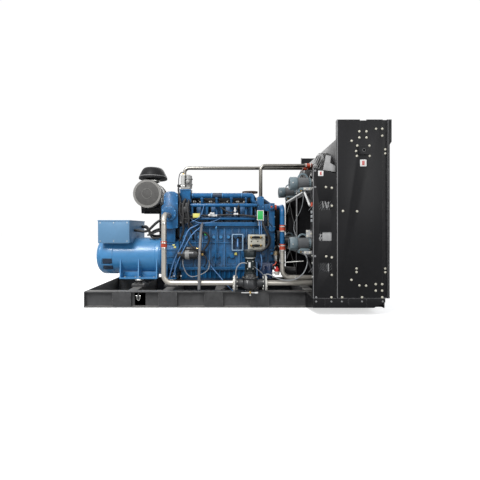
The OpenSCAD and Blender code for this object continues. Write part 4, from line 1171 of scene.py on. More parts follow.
@dataclass
class Engine(Assembly):
    """Engine castings and what is bolted to them."""

    pitch: float = 0.19
    first_head: float = -0.644
    head_top: float = 1.0972
    cover_top: float = 1.25
    pan_bolt_pitch: float = 0.06333

    def build(self) -> None:
        """Dresses the engine castings and adds their bolts and coils."""
        shop = self.shop
        for node in (
                "flywheel_housing", "engine_block", "oil_pan", "cylinder_heads", "intake_manifold", "fluid_rails",
                "gear_cover", "mixer_housing"):
            shop.softened(node, "engine_blue", 0.003)
        shop.softened("exhaust_manifold", "rust_brown", 0.003)
        shop.softened("crank_pulley", "cast_black", 0.002)
        shop.softened("oil_filters", "filter_navy", 0.004)
        shop.softened("breather_hose", "hose_grey", 0.0)
        self._housing_bolts()
        self._head_bolts()
        self._bridge()
        self._coils()
        self._plenum()
        self._front()
        self._tube_band()

    def _housing_bolts(self) -> None:
        """Sets bolts round the flywheel housing and along the pan flange."""
        shop = self.shop
        shop.bolts("housing_bolts", ring((-0.8228, 0, SHAFT_Z), 0.281, 20, RIGHT, 9), 0.017, 0.01, "engine_bright")
        along = [self.first_head + 0.03 + self.pan_bolt_pitch * i for i in range(18)]
        shop.bolts("pan_flange_bolts", grid(UP, along, (-0.222, 0.222), (0.4368,)), 0.014, 0.008, "engine_blue")
        middles = [self.first_head + 0.103 + self.pitch * i + dx for i in range(6) for dx in (-0.046, 0.046)]
        plugs = [((x, side * 0.2025, 0.82), outward) for x in middles for side, _, outward in SIDES]
        cap = shop.lathe("cap", [(0.02, 0), (0.02, 0.003), (0.013, 0.0035), (0.012, 0.0015)], steps=20)
        shop.spread("core_plugs", cap, plugs, "engine_bright")

    def _head_bolts(self) -> None:
        """Sets head bolts and cover nuts."""
        shop = self.shop
        rows = [self.first_head + self.pitch * i + dx for i in range(6) for dx in (0.03, 0.095, 0.16)]
        shop.bolts("head_bolts", grid(UP, rows, (-0.149, 0.149), (self.head_top,)), 0.02, 0.014, "engine_bright")
        tops = [self.first_head + self.pitch * i + dx for i in range(6) for dx in (0.045, 0.145)]
        shop.bolts("cover_nuts", grid(UP, tops, (0.05,), (self.cover_top,)), 0.018, 0.012)
        filler = [(0.034, 0), (0.034, 0.012), (0.042, 0.014), (0.042, 0.034), (0.034, 0.04), (0.012, 0.042)]
        place = (self.first_head + self.pitch * 4.5, 0.03, self.cover_top)
        shop.turned("filler", filler, place, UP, "plastic_black", 10)

    def _bridge(self) -> None:
        """Joins the valve covers and carries the coils' wiring channel."""
        shop = self.shop
        shop.fit("cover_bridge", (-0.625, -0.055, 1.088), (0.497, 0.06, 1.236), "engine_blue", 0.004)
        shop.fit("coil_channel", (-0.62, 0.004, 1.2505), (0.36, 0.078, 1.352), "plastic_black", 0.006)
        shop.fit("throttle_block", (-0.626, -0.283, 0.992), (-0.512, -0.176, 1.2565), "cast_black", 0.008)
        shop.fit("rear_gear_case", (-0.758, -0.085, 0.8), (-0.6525, 0.105, 1.0), "engine_blue", 0.006)
        shop.fit("belt_guard", (0.5745, 0.045, 0.85), (0.702, 0.1, 1.238), "plastic_black", 0.008)
        shoulder = shop.block("front_shoulder", (0.42, -0.165, 1.232), (0.586, 0.05, 1.276), 0.006)
        shop.dress(shop.swing(shoulder, (0.503, 0.0, 1.254), "Y", 36), "engine_blue")
        drum = [(0.036, 0), (0.04, 0.004), (0.04, 0.02), (0.034, 0.024), (0.034, 0.034), (0.014, 0.038)]
        shop.turned("throttle_actuator", drum, (-0.566, -0.283, 1.165), NEAR, "cast_black", 28)
        window = (
            (0.026, 0.648, 0.038, 0.86), (0.161, 0.648, 0.173, 0.86), (0.026, 0.848, 0.173, 0.86),
            (0.026, 0.648, 0.173, 0.66))
        bars = [shop.block("bar", (x0, -0.27, z0), (x1, -0.258, z1), 0.003) for x0, z0, x1, z1 in window]
        shop.dress(shop.merge("side_window_frame", *bars), "frame_pale")
        shop.bolts(
            "throttle_screws", grid(NEAR, (-0.616, -0.522), (-0.2832,), (1.006, 1.1, 1.24)), 0.011, 0.006, "edge_grey")

    def _coils(self) -> None:
        """Sets an ignition coil with bright screws and a lead on each head."""
        shop = self.shop
        posts = [self.first_head + self.pitch * (i + 0.5) for i in range(6)]
        coil = shop.lathe("coil", [
            (0.027, 0), (0.027, 0.014), (0.02, 0.018), (0.02, 0.03), (0.025, 0.033), (0.025, 0.046),
            (0.014, 0.05)], steps=20)
        shop.spread("coil_bodies", coil, grid(UP, posts, (-0.07,), (1.3,)), "plastic_black")
        studs = shop.lathe("stud", [
            (0.017, 0), (0.017, 0.008), (0.01, 0.01), (0.01, 0.03), (0.014, 0.032), (0.014, 0.042),
            (0.008, 0.044)], steps=12)
        places = grid(UP, (-0.484, -0.398, -0.272, -0.034, 0.086, 0.186), (-0.086,), (self.cover_top,))
        beside = [x + 0.026 for x in (-0.484, -0.272, 0.086, 0.186)]
        places += grid(UP, beside, (-0.089,), (self.cover_top - 0.003,))
        shop.spread("coil_studs", studs, places, "bright_zinc")
        shop.hose("coil_lead_trunk", [
            (-0.6, -0.118, 1.262), (-0.4, -0.122, 1.266), (-0.15, -0.118, 1.262), (0.1, -0.122, 1.266),
            (0.33, -0.118, 1.258), (0.38, -0.15, 1.1)], 0.011)
        for i, x in enumerate(posts):
            shop.hose(f"coil_lead_{i}", [
                (x, -0.07, 1.345), (x + 0.01, -0.085, 1.352), (x + 0.03, -0.105, 1.32),
                (x + 0.035, -0.12, 1.264)], 0.0045)

    def _plenum(self) -> None:
        """Bolts the round cover and the ribs of the air housing."""
        shop = self.shop
        shop.bolts(
            "plenum_cover_bolts", ring((-0.76, -0.3222, 1.12), 0.078, 8, NEAR, 22), 0.014, 0.008, "engine_bright")
        edge = [
            (-0.845, 0.945), (-0.845, 1.05), (-0.845, 1.16), (-0.664, 0.945), (-0.664, 1.24), (-0.664, 1.34),
            (-0.816, 1.26), (-0.816, 1.34), (-0.74, 1.388)]
        shop.bolts("plenum_rib_bolts", [((x, -0.3022, z), NEAR) for x, z in edge], 0.013, 0.007, "engine_bright")
        shop.bolts("mixer_bolts", grid(UP, (-0.627, -0.505), (-0.258, -0.122), (1.4282,)), 0.012, 0.008)

    def _front(self) -> None:
        """Bolts the gear cover, the pump and the thermostat block."""
        shop = self.shop
        rim = [
            (-0.212, 0.42), (-0.212, 0.55), (-0.214, 0.68), (-0.214, 0.82), (-0.216, 0.95), (-0.212, 1.08),
            (-0.205, 1.22), (-0.12, 1.24), (0.02, 1.17), (0.112, 1.08), (0.155, 0.96), (0.19, 0.8), (0.21, 0.62),
            (0.21, 0.46), (0.1, 0.412), (-0.1, 0.412)]
        shop.bolts("gear_cover_bolts", [((0.5742, y, z), RIGHT) for y, z in rim], 0.016, 0.01)
        shop.bolts(
            "thermostat_bolts", grid(NEAR, (0.364, 0.426), (-0.2342,), (1.105, 1.205, 1.312)), 0.013, 0.007,
            "engine_bright")
        shop.bolts(
            "boss_bolts",
            ring((0.538, -0.2562, 0.93), 0.03, 4, NEAR, 45) + ring((0.532, -0.2622, 1.205), 0.025, 4, NEAR, 45), 0.009,
            0.005, "engine_bright")
        shop.bolts("water_pump_bolts", ring((0.5864, -0.06, 0.82), 0.094, 6, RIGHT, 0), 0.014, 0.008)
        shop.bolts("pulley_bolts", ring((0.6445, 0, SHAFT_Z), 0.036, 6, RIGHT, 0), 0.016, 0.009)
        shop.turned(
            "boss_plug", [(0.013, 0), (0.013, 0.005), (0.008, 0.008)], (0.532, -0.262, 1.205), NEAR, "hose_red", 16)
        shop.collar("riser_seal", 0.0302, 0.0375, 0.022, (0.578, -0.19, 1.2), RIGHT, "hose_red")
        loop = [
            (0.0, 0.4365), (0.121, 0.52), (0.124, 0.6), (0.09, 0.7), (0.028, 0.82), (-0.01, 0.889), (-0.06, 0.9085),
            (-0.115, 0.888), (-0.148, 0.82), (-0.14, 0.72), (-0.134, 0.6), (-0.1, 0.485), (-0.04, 0.4395),
            (0.0, 0.4365)]
        shop.hose("fan_belt", [(0.6205, y, z) for y, z in loop], 0.0085)

    def _tube_band(self) -> None:
        """Wraps the dark band and the joint clamps round the intake tube."""
        shop = self.shop
        shop.collar("tube_wrap", 0.0332, 0.0346, 0.116, (-0.216, -0.19, 1.356), RIGHT, "band_dark")
        shop.bands("tube_clamps", grid(
            RIGHT, (-0.478, -0.234, -0.094, 0.15), (-0.19,), (1.356,)), 0.0335, "engine_bright")


@dataclass
class Wiring(Assembly):
    """Harness, connectors, tags and ignition fittings on the near side."""

    panel_y: float = -0.3362

    def build(self) -> None:
        """Dresses the ignition unit and lays the harness."""
        shop = self.shop
        shop.softened("ignition_unit", "cream", 0.003)
        self._ignition()
        self._control_box()
        self._harness()
        self._connectors()
        self._tags()

    def _ignition(self) -> None:
        """Puts the two black fuse bars and the side plugs on the ignition unit."""
        shop = self.shop
        bar = [
            (0.009, 0), (0.012, 0.004), (0.009, 0.018), (0.01, 0.03), (0.015, 0.06), (0.016, 0.075), (0.015, 0.09),
            (0.01, 0.12), (0.009, 0.132), (0.012, 0.15)]
        pattern = shop.lathe("bar", bar, steps=18)
        shop.spread("fuse_bars", pattern, grid(RIGHT, (0.256,), (-0.349,), (0.821, 0.718)), "plastic_black")
        clip = shop.block("clip", (-0.016, -0.02, 0.0), (0.016, 0.014, 0.01), 0.002)
        shop.spread("fuse_clips", clip, grid(RIGHT, (0.262, 0.382), (-0.349,), (0.821, 0.718)), "brass")
        shop.bolts("ignition_screws", grid(NEAR, (0.2355, 0.4385), (-0.3303,), (0.674, 0.846)), 0.009, 0.004)
        shop.bolts(
            "ignition_studs", [((x, self.panel_y, z), NEAR) for x, z in ((0.352, 0.77), (0.272, 0.768), (0.3, 0.69))],
            0.01, 0.006, "plastic_black")
        plug = shop.lathe("plug", [
            (0.02, 0), (0.02, 0.012), (0.016, 0.014), (0.016, 0.03), (0.019, 0.032), (0.019, 0.044),
            (0.012, 0.05)], steps=16)
        shop.spread("ignition_plugs", plug, grid(RIGHT, (0.4435,), (-0.3,), (0.7, 0.76, 0.822)), "plastic_black")

    def _control_box(self) -> None:
        """Frames the green face of the control box."""
        shop = self.shop
        shop.fit("green_face", (0.3505, -0.3215, 1.04), (0.4185, -0.3175, 1.149), "board_green", 0.001)
        x0, z0, x1, z1, edge = 0.342, 1.031, 0.427, 1.158, 0.009
        spans = ((x0, z0, x1, z0 + edge), (x0, z1 - edge, x1, z1), (x0, z0, x0 + edge, z1), (x1 - edge, z0, x1, z1))
        bars = [shop.block("bar", (a, -0.325, b), (c, -0.315, d), 0.0015) for a, b, c, d in spans]
        shop.dress(shop.merge("green_face_frame", *bars), "plate_white")
        shop.bolts("control_box_screws", grid(NEAR, (0.3465, 0.4225), (-0.3251,), (1.0355, 1.1535)), 0.005, 0.002)
        shop.hose("control_conduit_a", [
            (0.372, -0.3, 1.034), (0.372, -0.302, 0.98), (0.376, -0.305, 0.92),
            (0.378, -0.3, 0.853)], 0.0075, "line_blue")
        shop.hose("control_conduit_b", [
            (0.394, -0.3, 1.034), (0.396, -0.312, 0.98), (0.402, -0.318, 0.91),
            (0.404, -0.3, 0.853)], 0.006, "line_blue")

    def _harness(self) -> None:
        """Lays the black looms."""
        shop = self.shop
        routes = {
            "front": ([
                (0.412, -0.3, 1.036), (0.418, -0.325, 0.985), (0.44, -0.345, 0.915), (0.478, -0.352, 0.85),
                (0.494, -0.35, 0.79), (0.486, -0.348, 0.735), (0.455, -0.346, 0.69), (0.405, -0.344, 0.652),
                (0.35, -0.335, 0.642), (0.3, -0.3, 0.668)], 0.013),
            "front_thin": ([
                (0.424, -0.29, 0.99), (0.45, -0.335, 0.93), (0.492, -0.345, 0.86), (0.512, -0.34, 0.79),
                (0.5, -0.338, 0.715), (0.462, -0.33, 0.672), (0.415, -0.305, 0.664)], 0.007),
            "plug_a": ([
                (0.491, -0.3, 0.822), (0.515, -0.308, 0.815), (0.52, -0.325, 0.78), (0.494, -0.34, 0.76)], 0.007),
            "plug_b": ([
                (0.491, -0.3, 0.76), (0.51, -0.308, 0.75), (0.508, -0.325, 0.722), (0.486, -0.338, 0.715)], 0.007),
            "rail": ([
                (-0.5, -0.272, 1.09), (-0.36, -0.276, 1.098), (-0.2, -0.27, 1.086), (-0.1, -0.284, 1.104),
                (0.02, -0.28, 1.098), (0.12, -0.286, 1.108), (0.22, -0.276, 1.09), (0.345, -0.29, 1.08)], 0.011),
            "rail_top": ([
                (-0.12, -0.27, 1.2), (-0.06, -0.284, 1.16), (0.0, -0.29, 1.125), (0.06, -0.284, 1.135),
                (0.1, -0.272, 1.18), (0.12, -0.262, 1.236)], 0.008),
            "mixer_a": ([
                (-0.56, -0.262, 1.3), (-0.575, -0.3, 1.27), (-0.6, -0.312, 1.18), (-0.57, -0.318, 1.09),
                (-0.6, -0.316, 1.0), (-0.565, -0.3, 0.92), (-0.6, -0.27, 0.84), (-0.64, -0.262, 0.77)], 0.015),
            "mixer_b": ([
                (-0.52, -0.262, 1.29), (-0.515, -0.292, 1.24), (-0.54, -0.318, 1.15), (-0.5, -0.322, 1.06),
                (-0.53, -0.31, 0.97), (-0.49, -0.3, 0.9), (-0.46, -0.27, 0.84), (-0.47, -0.212, 0.79)], 0.013),
            "mixer_c": ([
                (-0.64, -0.205, 1.47), (-0.665, -0.235, 1.46), (-0.65, -0.28, 1.38), (-0.61, -0.305, 1.28),
                (-0.64, -0.318, 1.16), (-0.61, -0.322, 1.08), (-0.55, -0.312, 1.03), (-0.46, -0.285, 1.06)], 0.009),
            "mixer_d": ([
                (-0.63, -0.262, 1.2), (-0.622, -0.29, 1.12), (-0.52, -0.3, 1.02), (-0.44, -0.3, 0.93),
                (-0.4, -0.27, 0.89), (-0.36, -0.215, 0.87)], 0.01),
            "block": ([
                (-0.36, -0.212, 0.868), (-0.33, -0.262, 0.89), (-0.27, -0.268, 0.86), (-0.25, -0.262, 0.79),
                (-0.28, -0.262, 0.72), (-0.33, -0.262, 0.66)], 0.012),
        }
        for name, (route, radius) in routes.items():
            shop.hose("loom_" + name, route, radius)
        shop.hose("wire_white_a", [
            (-0.33, -0.27, 1.225), (-0.33, -0.292, 1.17), (-0.37, -0.298, 1.06), (-0.46, -0.292, 1.02),
            (-0.54, -0.285, 0.99)], 0.0035, "line_blue")
        shop.hose("wire_white_b", [
            (-0.12, -0.272, 1.06), (-0.19, -0.29, 1.02), (-0.3, -0.296, 0.99), (-0.4, -0.296, 1.0),
            (-0.5, -0.285, 1.05), (-0.56, -0.262, 1.075)], 0.0035, "line_blue")
        shop.hose("wire_dark", [
            (0.43, -0.285, 1.1), (0.47, -0.292, 1.05), (0.5, -0.29, 0.99), (0.54, -0.268, 0.955)], 0.0035)

    def _connectors(self) -> None:
        """Sets the bright plugs on the rails and the sensor on the block."""
        shop = self.shop
        body = shop.lathe("body", [
            (0.013, 0), (0.013, 0.012), (0.017, 0.013), (0.017, 0.026), (0.012, 0.028), (0.012, 0.046), (0.015, 0.047),
            (0.015, 0.056)], steps=6)
        places = [
            ((-0.272, -0.28, 1.098), RIGHT), ((-0.25, -0.288, 1.118), RIGHT), ((-0.215, -0.282, 1.094), RIGHT),
            ((0.05, -0.292, 1.112), RIGHT), ((0.068, -0.286, 1.138), UP)]
        shop.spread("loom_plugs", body, places, "plate_white")
        sensor = [(0.014, 0), (0.014, 0.04), (0.019, 0.041), (0.019, 0.052), (0.01, 0.054)]
        shop.turned("sensor", sensor, (-0.308, -0.195, 0.861), NEAR, "board_green", 12)
        elbow = [
            (0.02, 0), (0.02, 0.016), (0.015, 0.018), (0.015, 0.034), (0.019, 0.036), (0.019, 0.048), (0.01, 0.052)]
        shop.turned("valve_sensor", elbow, (-0.6255, -0.2, 1.48), LEFT, "plastic_black", 16)
        tie = shop.hoop("tie", 0.0112, 0.0132, 0.005, steps=14)
        shop.spread("loom_ties", tie, grid(RIGHT, (-0.34, -0.05, 0.17, 0.29), (-0.276,), (1.094,)), "plastic_black")

    def _tags(self) -> None:
        """Hangs the bare yellow tags."""
        shop = self.shop
        shop.fit("rail_tag", (-0.464, -0.294, 1.066), (-0.378, -0.2895, 1.12), "tag_yellow", 0.0008)
        for i, (angle, x) in enumerate(((26.0, -0.7), (33.0, -0.72))):
            tag = shop.block(
                f"housing_tag_{i}", (x - 0.014, -0.2745, SHAFT_Z - 0.01), (x + 0.014, -0.2715, SHAFT_Z + 0.014), 0.0006)
            shop.dress(shop.swing(tag, (0, 0, SHAFT_Z), "X", -angle), "tag_yellow")
        shop.fit("block_tag", (0.062, -0.2325, 0.59), (0.092, -0.2285, 0.622), "tag_yellow", 0.0006)


@dataclass
class Fittings(Assembly):
    """Starter, filters, thin pipes and hoses on the near side."""

    starter: Point = (-0.65, -0.298, 0.603)

    def build(self) -> None:
        """Dresses the starter and adds the small pipes."""
        shop = self.shop
        shop.softened("starter_motor", "cast_black", 0.003)
        self._starter()
        self._filters()
        self._lines()

    def _starter(self) -> None:
        """Gives the starter its bright nose, tie bolts and terminals."""
        shop = self.shop
        x, y, z = self.starter
        nose = [(0.0606, 0), (0.0622, 0.002), (0.0622, 0.04), (0.0608, 0.052)]
        shop.turned("starter_nose", nose, (x + 0.094, y, z), RIGHT, "valve_cast")
        shop.bolts("starter_bolts", ring((x + 0.2565, y, z), 0.03, 4, RIGHT, 45), 0.012, 0.008)
        shop.fit("starter_block", (-0.388, -0.3, 0.586), (-0.318, -0.205, 0.648), "plastic_black", 0.004)
        stud = shop.lathe("stud", [
            (0.014, 0), (0.014, 0.01), (0.006, 0.011), (0.006, 0.024), (0.01, 0.025), (0.01, 0.034)], steps=6)
        shop.spread("starter_studs", stud, [
            ((-0.372, -0.3, 0.632), NEAR), ((-0.34, -0.3, 0.604), NEAR), ((-0.4185, y, z + 0.073), RIGHT)], "brass")
        shop.hose("starter_lead_a", [
            (-0.395, y, 0.676), (-0.37, -0.318, 0.672), (-0.358, -0.325, 0.655),
            (-0.372, -0.325, 0.632)], 0.006, "brass")
        shop.hose("starter_lead_b", [
            (-0.34, -0.325, 0.604), (-0.3, -0.335, 0.585), (-0.275, -0.33, 0.53), (-0.3, -0.3, 0.47),
            (-0.33, -0.236, 0.442)], 0.007)
        shop.hose("starter_lead_c", [
            (-0.372, -0.325, 0.632), (-0.4, -0.355, 0.66), (-0.45, -0.36, 0.69), (-0.5, -0.34, 0.74),
            (-0.54, -0.3, 0.8), (-0.56, -0.25, 0.86)], 0.008)

    def _filters(self) -> None:
        """Adds the bowl, the drain cap and the bands of the oil filters."""
        shop = self.shop
        for i, x in enumerate((0.42, 0.495)):
            shop.collar(f"filter_band_{i}", 0.0452, 0.0462, 0.06, (x, -0.29, 0.348), UP, "filter_band")
        shop.fit("bowl_bracket", (0.515, -0.285, 0.6), (0.575, -0.232, 0.628), "engine_blue", 0.003)
        shop.turned(
            "bowl_head", [(0.03, 0), (0.041, 0.004), (0.041, 0.024), (0.034, 0.028), (0.034, 0.052), (0.02, 0.056)],
            (0.586, -0.292, 0.59), UP, "brass_dull", 24)
        shop.turned(
            "bowl_glass", [(0.012, 0), (0.024, 0.006), (0.03, 0.016), (0.032, 0.07), (0.036, 0.074), (0.036, 0.08)],
            (0.586, -0.292, 0.512), UP, "bright_zinc", 24)
        shop.hose("drain_hose", [
            (0.53, -0.3, 0.47), (0.545, -0.32, 0.466), (0.575, -0.33, 0.474), (0.586, -0.3, 0.512)], 0.008, "hose_red")
        shop.hose("drain_hose_low", [
            (0.53, -0.3, 0.465), (0.54, -0.33, 0.44), (0.56, -0.332, 0.415), (0.566, -0.318, 0.398)], 0.009)
        shop.turned(
            "drain_cup", [(0.018, 0), (0.03, 0.004), (0.033, 0.04), (0.026, 0.046)], (0.59, -0.345, 0.352), UP,
            "flange_pale", 20)
        shop.turned(
            "drain_cap", [(0.03, 0), (0.031, 0.004), (0.028, 0.03), (0.014, 0.042), (0.01, 0.06)],
            (0.59, -0.345, 0.397), UP, "cap_red", 20)
        shop.fit("drain_arm", (0.5, -0.322, 0.3655), (0.58, -0.312, 0.3815), "bright_zinc", 0.001)

    def _lines(self) -> None:
        """Runs the thin blue and bright pipes down to the skid."""
        shop = self.shop
        pairs = {
            "blue_line_a": ([
                (-0.395, -0.234, 0.985), (-0.4, -0.29, 0.972), (-0.46, -0.312, 0.955), (-0.53, -0.32, 0.905),
                (-0.57, -0.328, 0.775), (-0.62, -0.332, 0.67), (-0.68, -0.332, 0.57), (-0.715, -0.328, 0.46),
                (-0.745, -0.318, 0.36), (-0.76, -0.285, 0.307)], 0.0075, "line_blue"),
            "blue_line_b": ([
                (-0.35, -0.234, 0.98), (-0.36, -0.292, 0.95), (-0.43, -0.316, 0.9), (-0.5, -0.326, 0.82),
                (-0.545, -0.336, 0.72), (-0.6, -0.338, 0.62), (-0.645, -0.336, 0.52), (-0.682, -0.33, 0.41),
                (-0.71, -0.318, 0.33), (-0.722, -0.285, 0.307)], 0.0065, "line_blue"),
            "arc_line": ([
                (-0.592, -0.262, 0.56), (-0.598, -0.3, 0.51), (-0.57, -0.318, 0.4), (-0.5, -0.322, 0.315),
                (-0.4, -0.325, 0.335), (-0.29, -0.322, 0.385), (-0.252, -0.312, 0.44), (-0.256, -0.275, 0.5),
                (-0.27, -0.222, 0.52)], 0.0055, "line_grey"),
            "drain_line": ([
                (-0.247, -0.222, 0.47), (-0.24, -0.29, 0.455), (-0.2, -0.33, 0.42), (-0.1, -0.42, 0.325),
                (-0.02, -0.5, 0.245), (0.044, -0.548, 0.192)], 0.0048, "line_blue"),
            "pan_wire": ([
                (0.382, -0.24, 0.285), (0.3, -0.3, 0.262), (0.18, -0.33, 0.245), (0.02, -0.38, 0.222),
                (-0.1, -0.47, 0.196)], 0.0045, "rubber_black"),
            "frame_drop": ([
                (0.1, -0.262, 0.7), (0.1, -0.268, 0.73), (0.102, -0.24, 0.775), (0.1, -0.205, 0.8)], 0.01, "line_blue"),
            "side_line": ([
                (0.386, -0.2325, 0.64), (0.392, -0.3, 0.605), (0.4, -0.335, 0.55), (0.402, -0.345, 0.5),
                (0.392, -0.35, 0.44), (0.376, -0.335, 0.4), (0.38, -0.226, 0.392)], 0.005, "line_blue"),
            "dip_tube": ([
                (-0.18, -0.208, 0.45), (-0.18, -0.262, 0.47), (-0.178, -0.268, 0.6), (-0.176, -0.262, 0.8),
                (-0.172, -0.25, 0.93)], 0.007, "engine_blue"),
        }
        for name, (route, radius, finish) in pairs.items():
            shop.hose(name, route, radius, finish)
        shop.turned(
            "dip_handle", [(0.01, 0), (0.013, 0.004), (0.013, 0.012), (0.008, 0.03)], (-0.172, -0.25, 0.928), UP,
            "engine_bright", 10)


@dataclass
class Intake(Assembly):
    """Air cleaner, rain cap and gas valve."""

    cleaner: Point = (-1.054, -0.25, 1.375)
    cap: tuple[float, float] = (-1.015, -0.1)
    cradle_z: float = 1.13

    def build(self) -> None:
        """Dresses the intake side."""
        shop = self.shop
        shop.softened("air_cleaner", "cleaner_grey", 0.003)
        self._bracket()
        hat = [
            (0.08, 0), (0.08, 0.031), (0.172, 0.0325), (0.182, 0.0385), (0.183, 0.06), (0.176, 0.0665), (0.17, 0.089),
            (0.143, 0.148), (0.124, 0.173), (0.106, 0.185), (0.05, 0.188)]
        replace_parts(shop.turned("rain_hat", hat, (*self.cap, 1.5395), UP, "plastic_black", 64), "rain_cap")
        shop.softened("gas_valve", "valve_cast", 0.004)
        self._cleaner()
        self._cap()
        shop.bands("duct_clamps", [((-0.876, -0.15, 1.31), RIGHT)], 0.0605)
        x = self.cleaner[0]
        shop.bolts(
            "bracket_bolts", grid(NEAR, (x - 0.09, x + 0.09), (-0.0702,), (1.15, 1.2)), 0.016, 0.009, "sheet_black")
        self._valve()
        shop.bands("vent_clamps", [((-0.606, -0.06, 1.33), UP)], 0.0235)

    def _cleaner(self) -> None:
        """Adds the air cleaner's rim, painted lighter as a painted highlight, its end face, painted darker as painted
        shade, straps and latches.
        """
        shop = self.shop
        x, _, z = self.cleaner
        shop.collar("cleaner_lid_band", 0.1642, 0.18, 0.018, (x, -0.164, z), NEAR, "cleaner_grey", 64)
        for i, y in enumerate((-0.052, 0.07)):
            shop.collar(f"cleaner_strap_{i}", 0.1641, 0.1665, 0.028, (x, y, z), NEAR, "plastic_black", 64)
        latch = shop.block("latch", (-0.013, -0.012, 0.0), (0.013, 0.012, 0.009), 0.003)
        around = [((x + 0.169 * math.cos(a), -0.173, z + 0.169 * math.sin(a)), NEAR) for a in (0.5, 2.6, 4.7)]
        shop.spread("cleaner_latches", latch, around, "bright_zinc")
        # Lid rim in a lighter grey: painted highlight.
        shop.collar("cleaner_lid_rim", 0.15, 0.179, 0.022, (x, -0.228, z), NEAR, "cleaner_lit_grey", 64)
        # Lid face in a darker grey: painted shade.
        shop.turned(
            "cleaner_lid_face", [(0.148, 0), (0.148, 0.0012), (0.13, 0.0016)], (x, -0.2502, z), NEAR, "cleaner_shaded_grey",
            64)
        shop.collar("cleaner_lid_bead", 0.06, 0.066, 0.005, (x, -0.251, z), NEAR, "cleaner_grey", 48)

    def _cap(self) -> None:
        """Adds the rain cap's clamp, a pale ring at its rim as a painted highlight, and its nut."""
        shop = self.shop
        shop.collar("rain_cap_band", 0.0822, 0.0865, 0.013, (*self.cap, 1.5475), UP, "bright_zinc", 48)
        # Pale ring painted on as a highlight along the cap's rim.
        shop.collar("rain_cap_rim_highlight", 0.172, 0.1785, 0.01, (*self.cap, 1.605), UP, "cap_rim", 64)
        shop.turned("rain_cap_nut", [(0.016, 0), (0.016, 0.01), (0.009, 0.014)], (*self.cap, 1.7275), UP, "cap_rim", 6)

    def _valve(self) -> None:
        """Adds the gas valve's bolts, port, gland and lead."""
        shop = self.shop
        shop.bolts("valve_bolts", grid(NEAR, (-0.614, -0.58), (-0.2502,), (1.468, 1.606)), 0.012, 0.008)
        shop.bolts("valve_base_bolts", grid(UP, (-0.516,), (-0.246, -0.128), (1.4525,)), 0.011, 0.008)
        shop.turned(
            "valve_port", [(0.03, 0), (0.03, 0.012), (0.024, 0.014), (0.024, 0.03), (0.017, 0.033)],
            (-0.534, -0.2365, 1.528), NEAR, "valve_cast", 6)
        shop.turned("valve_gland", [(0.012, 0), (0.012, 0.01), (0.009, 0.02)], (-0.6, -0.2, 1.6182), UP, "brass", 10)
        shop.hose("valve_lead", [
            (-0.6, -0.2, 1.636), (-0.602, -0.205, 1.655), (-0.625, -0.21, 1.66), (-0.652, -0.212, 1.62),
            (-0.66, -0.215, 1.53), (-0.655, -0.225, 1.44), (-0.642, -0.24, 1.36)], 0.0055)

    def _bracket(self) -> None:
        """Shows the bracket as the photograph does: a cradle on slim legs."""
        shop = self.shop
        cradle = shop.softened("air_cleaner_bracket", "sheet_black", 0.001)
        shop.open_mesh(cradle)
        bpy.ops.mesh.bisect(plane_co=(0, 0, self.cradle_z), plane_no=(0, 0, 1), clear_inner=True, use_fill=True)
        bpy.ops.object.mode_set(mode="OBJECT")
        for i, y in enumerate((-0.07, 0.052)):
            shop.fit(
                f"cleaner_leg_{i}", (-0.942, y, 0.8125), (-0.917, y + 0.008, self.cradle_z + 0.012), "sheet_black",
                0.001)


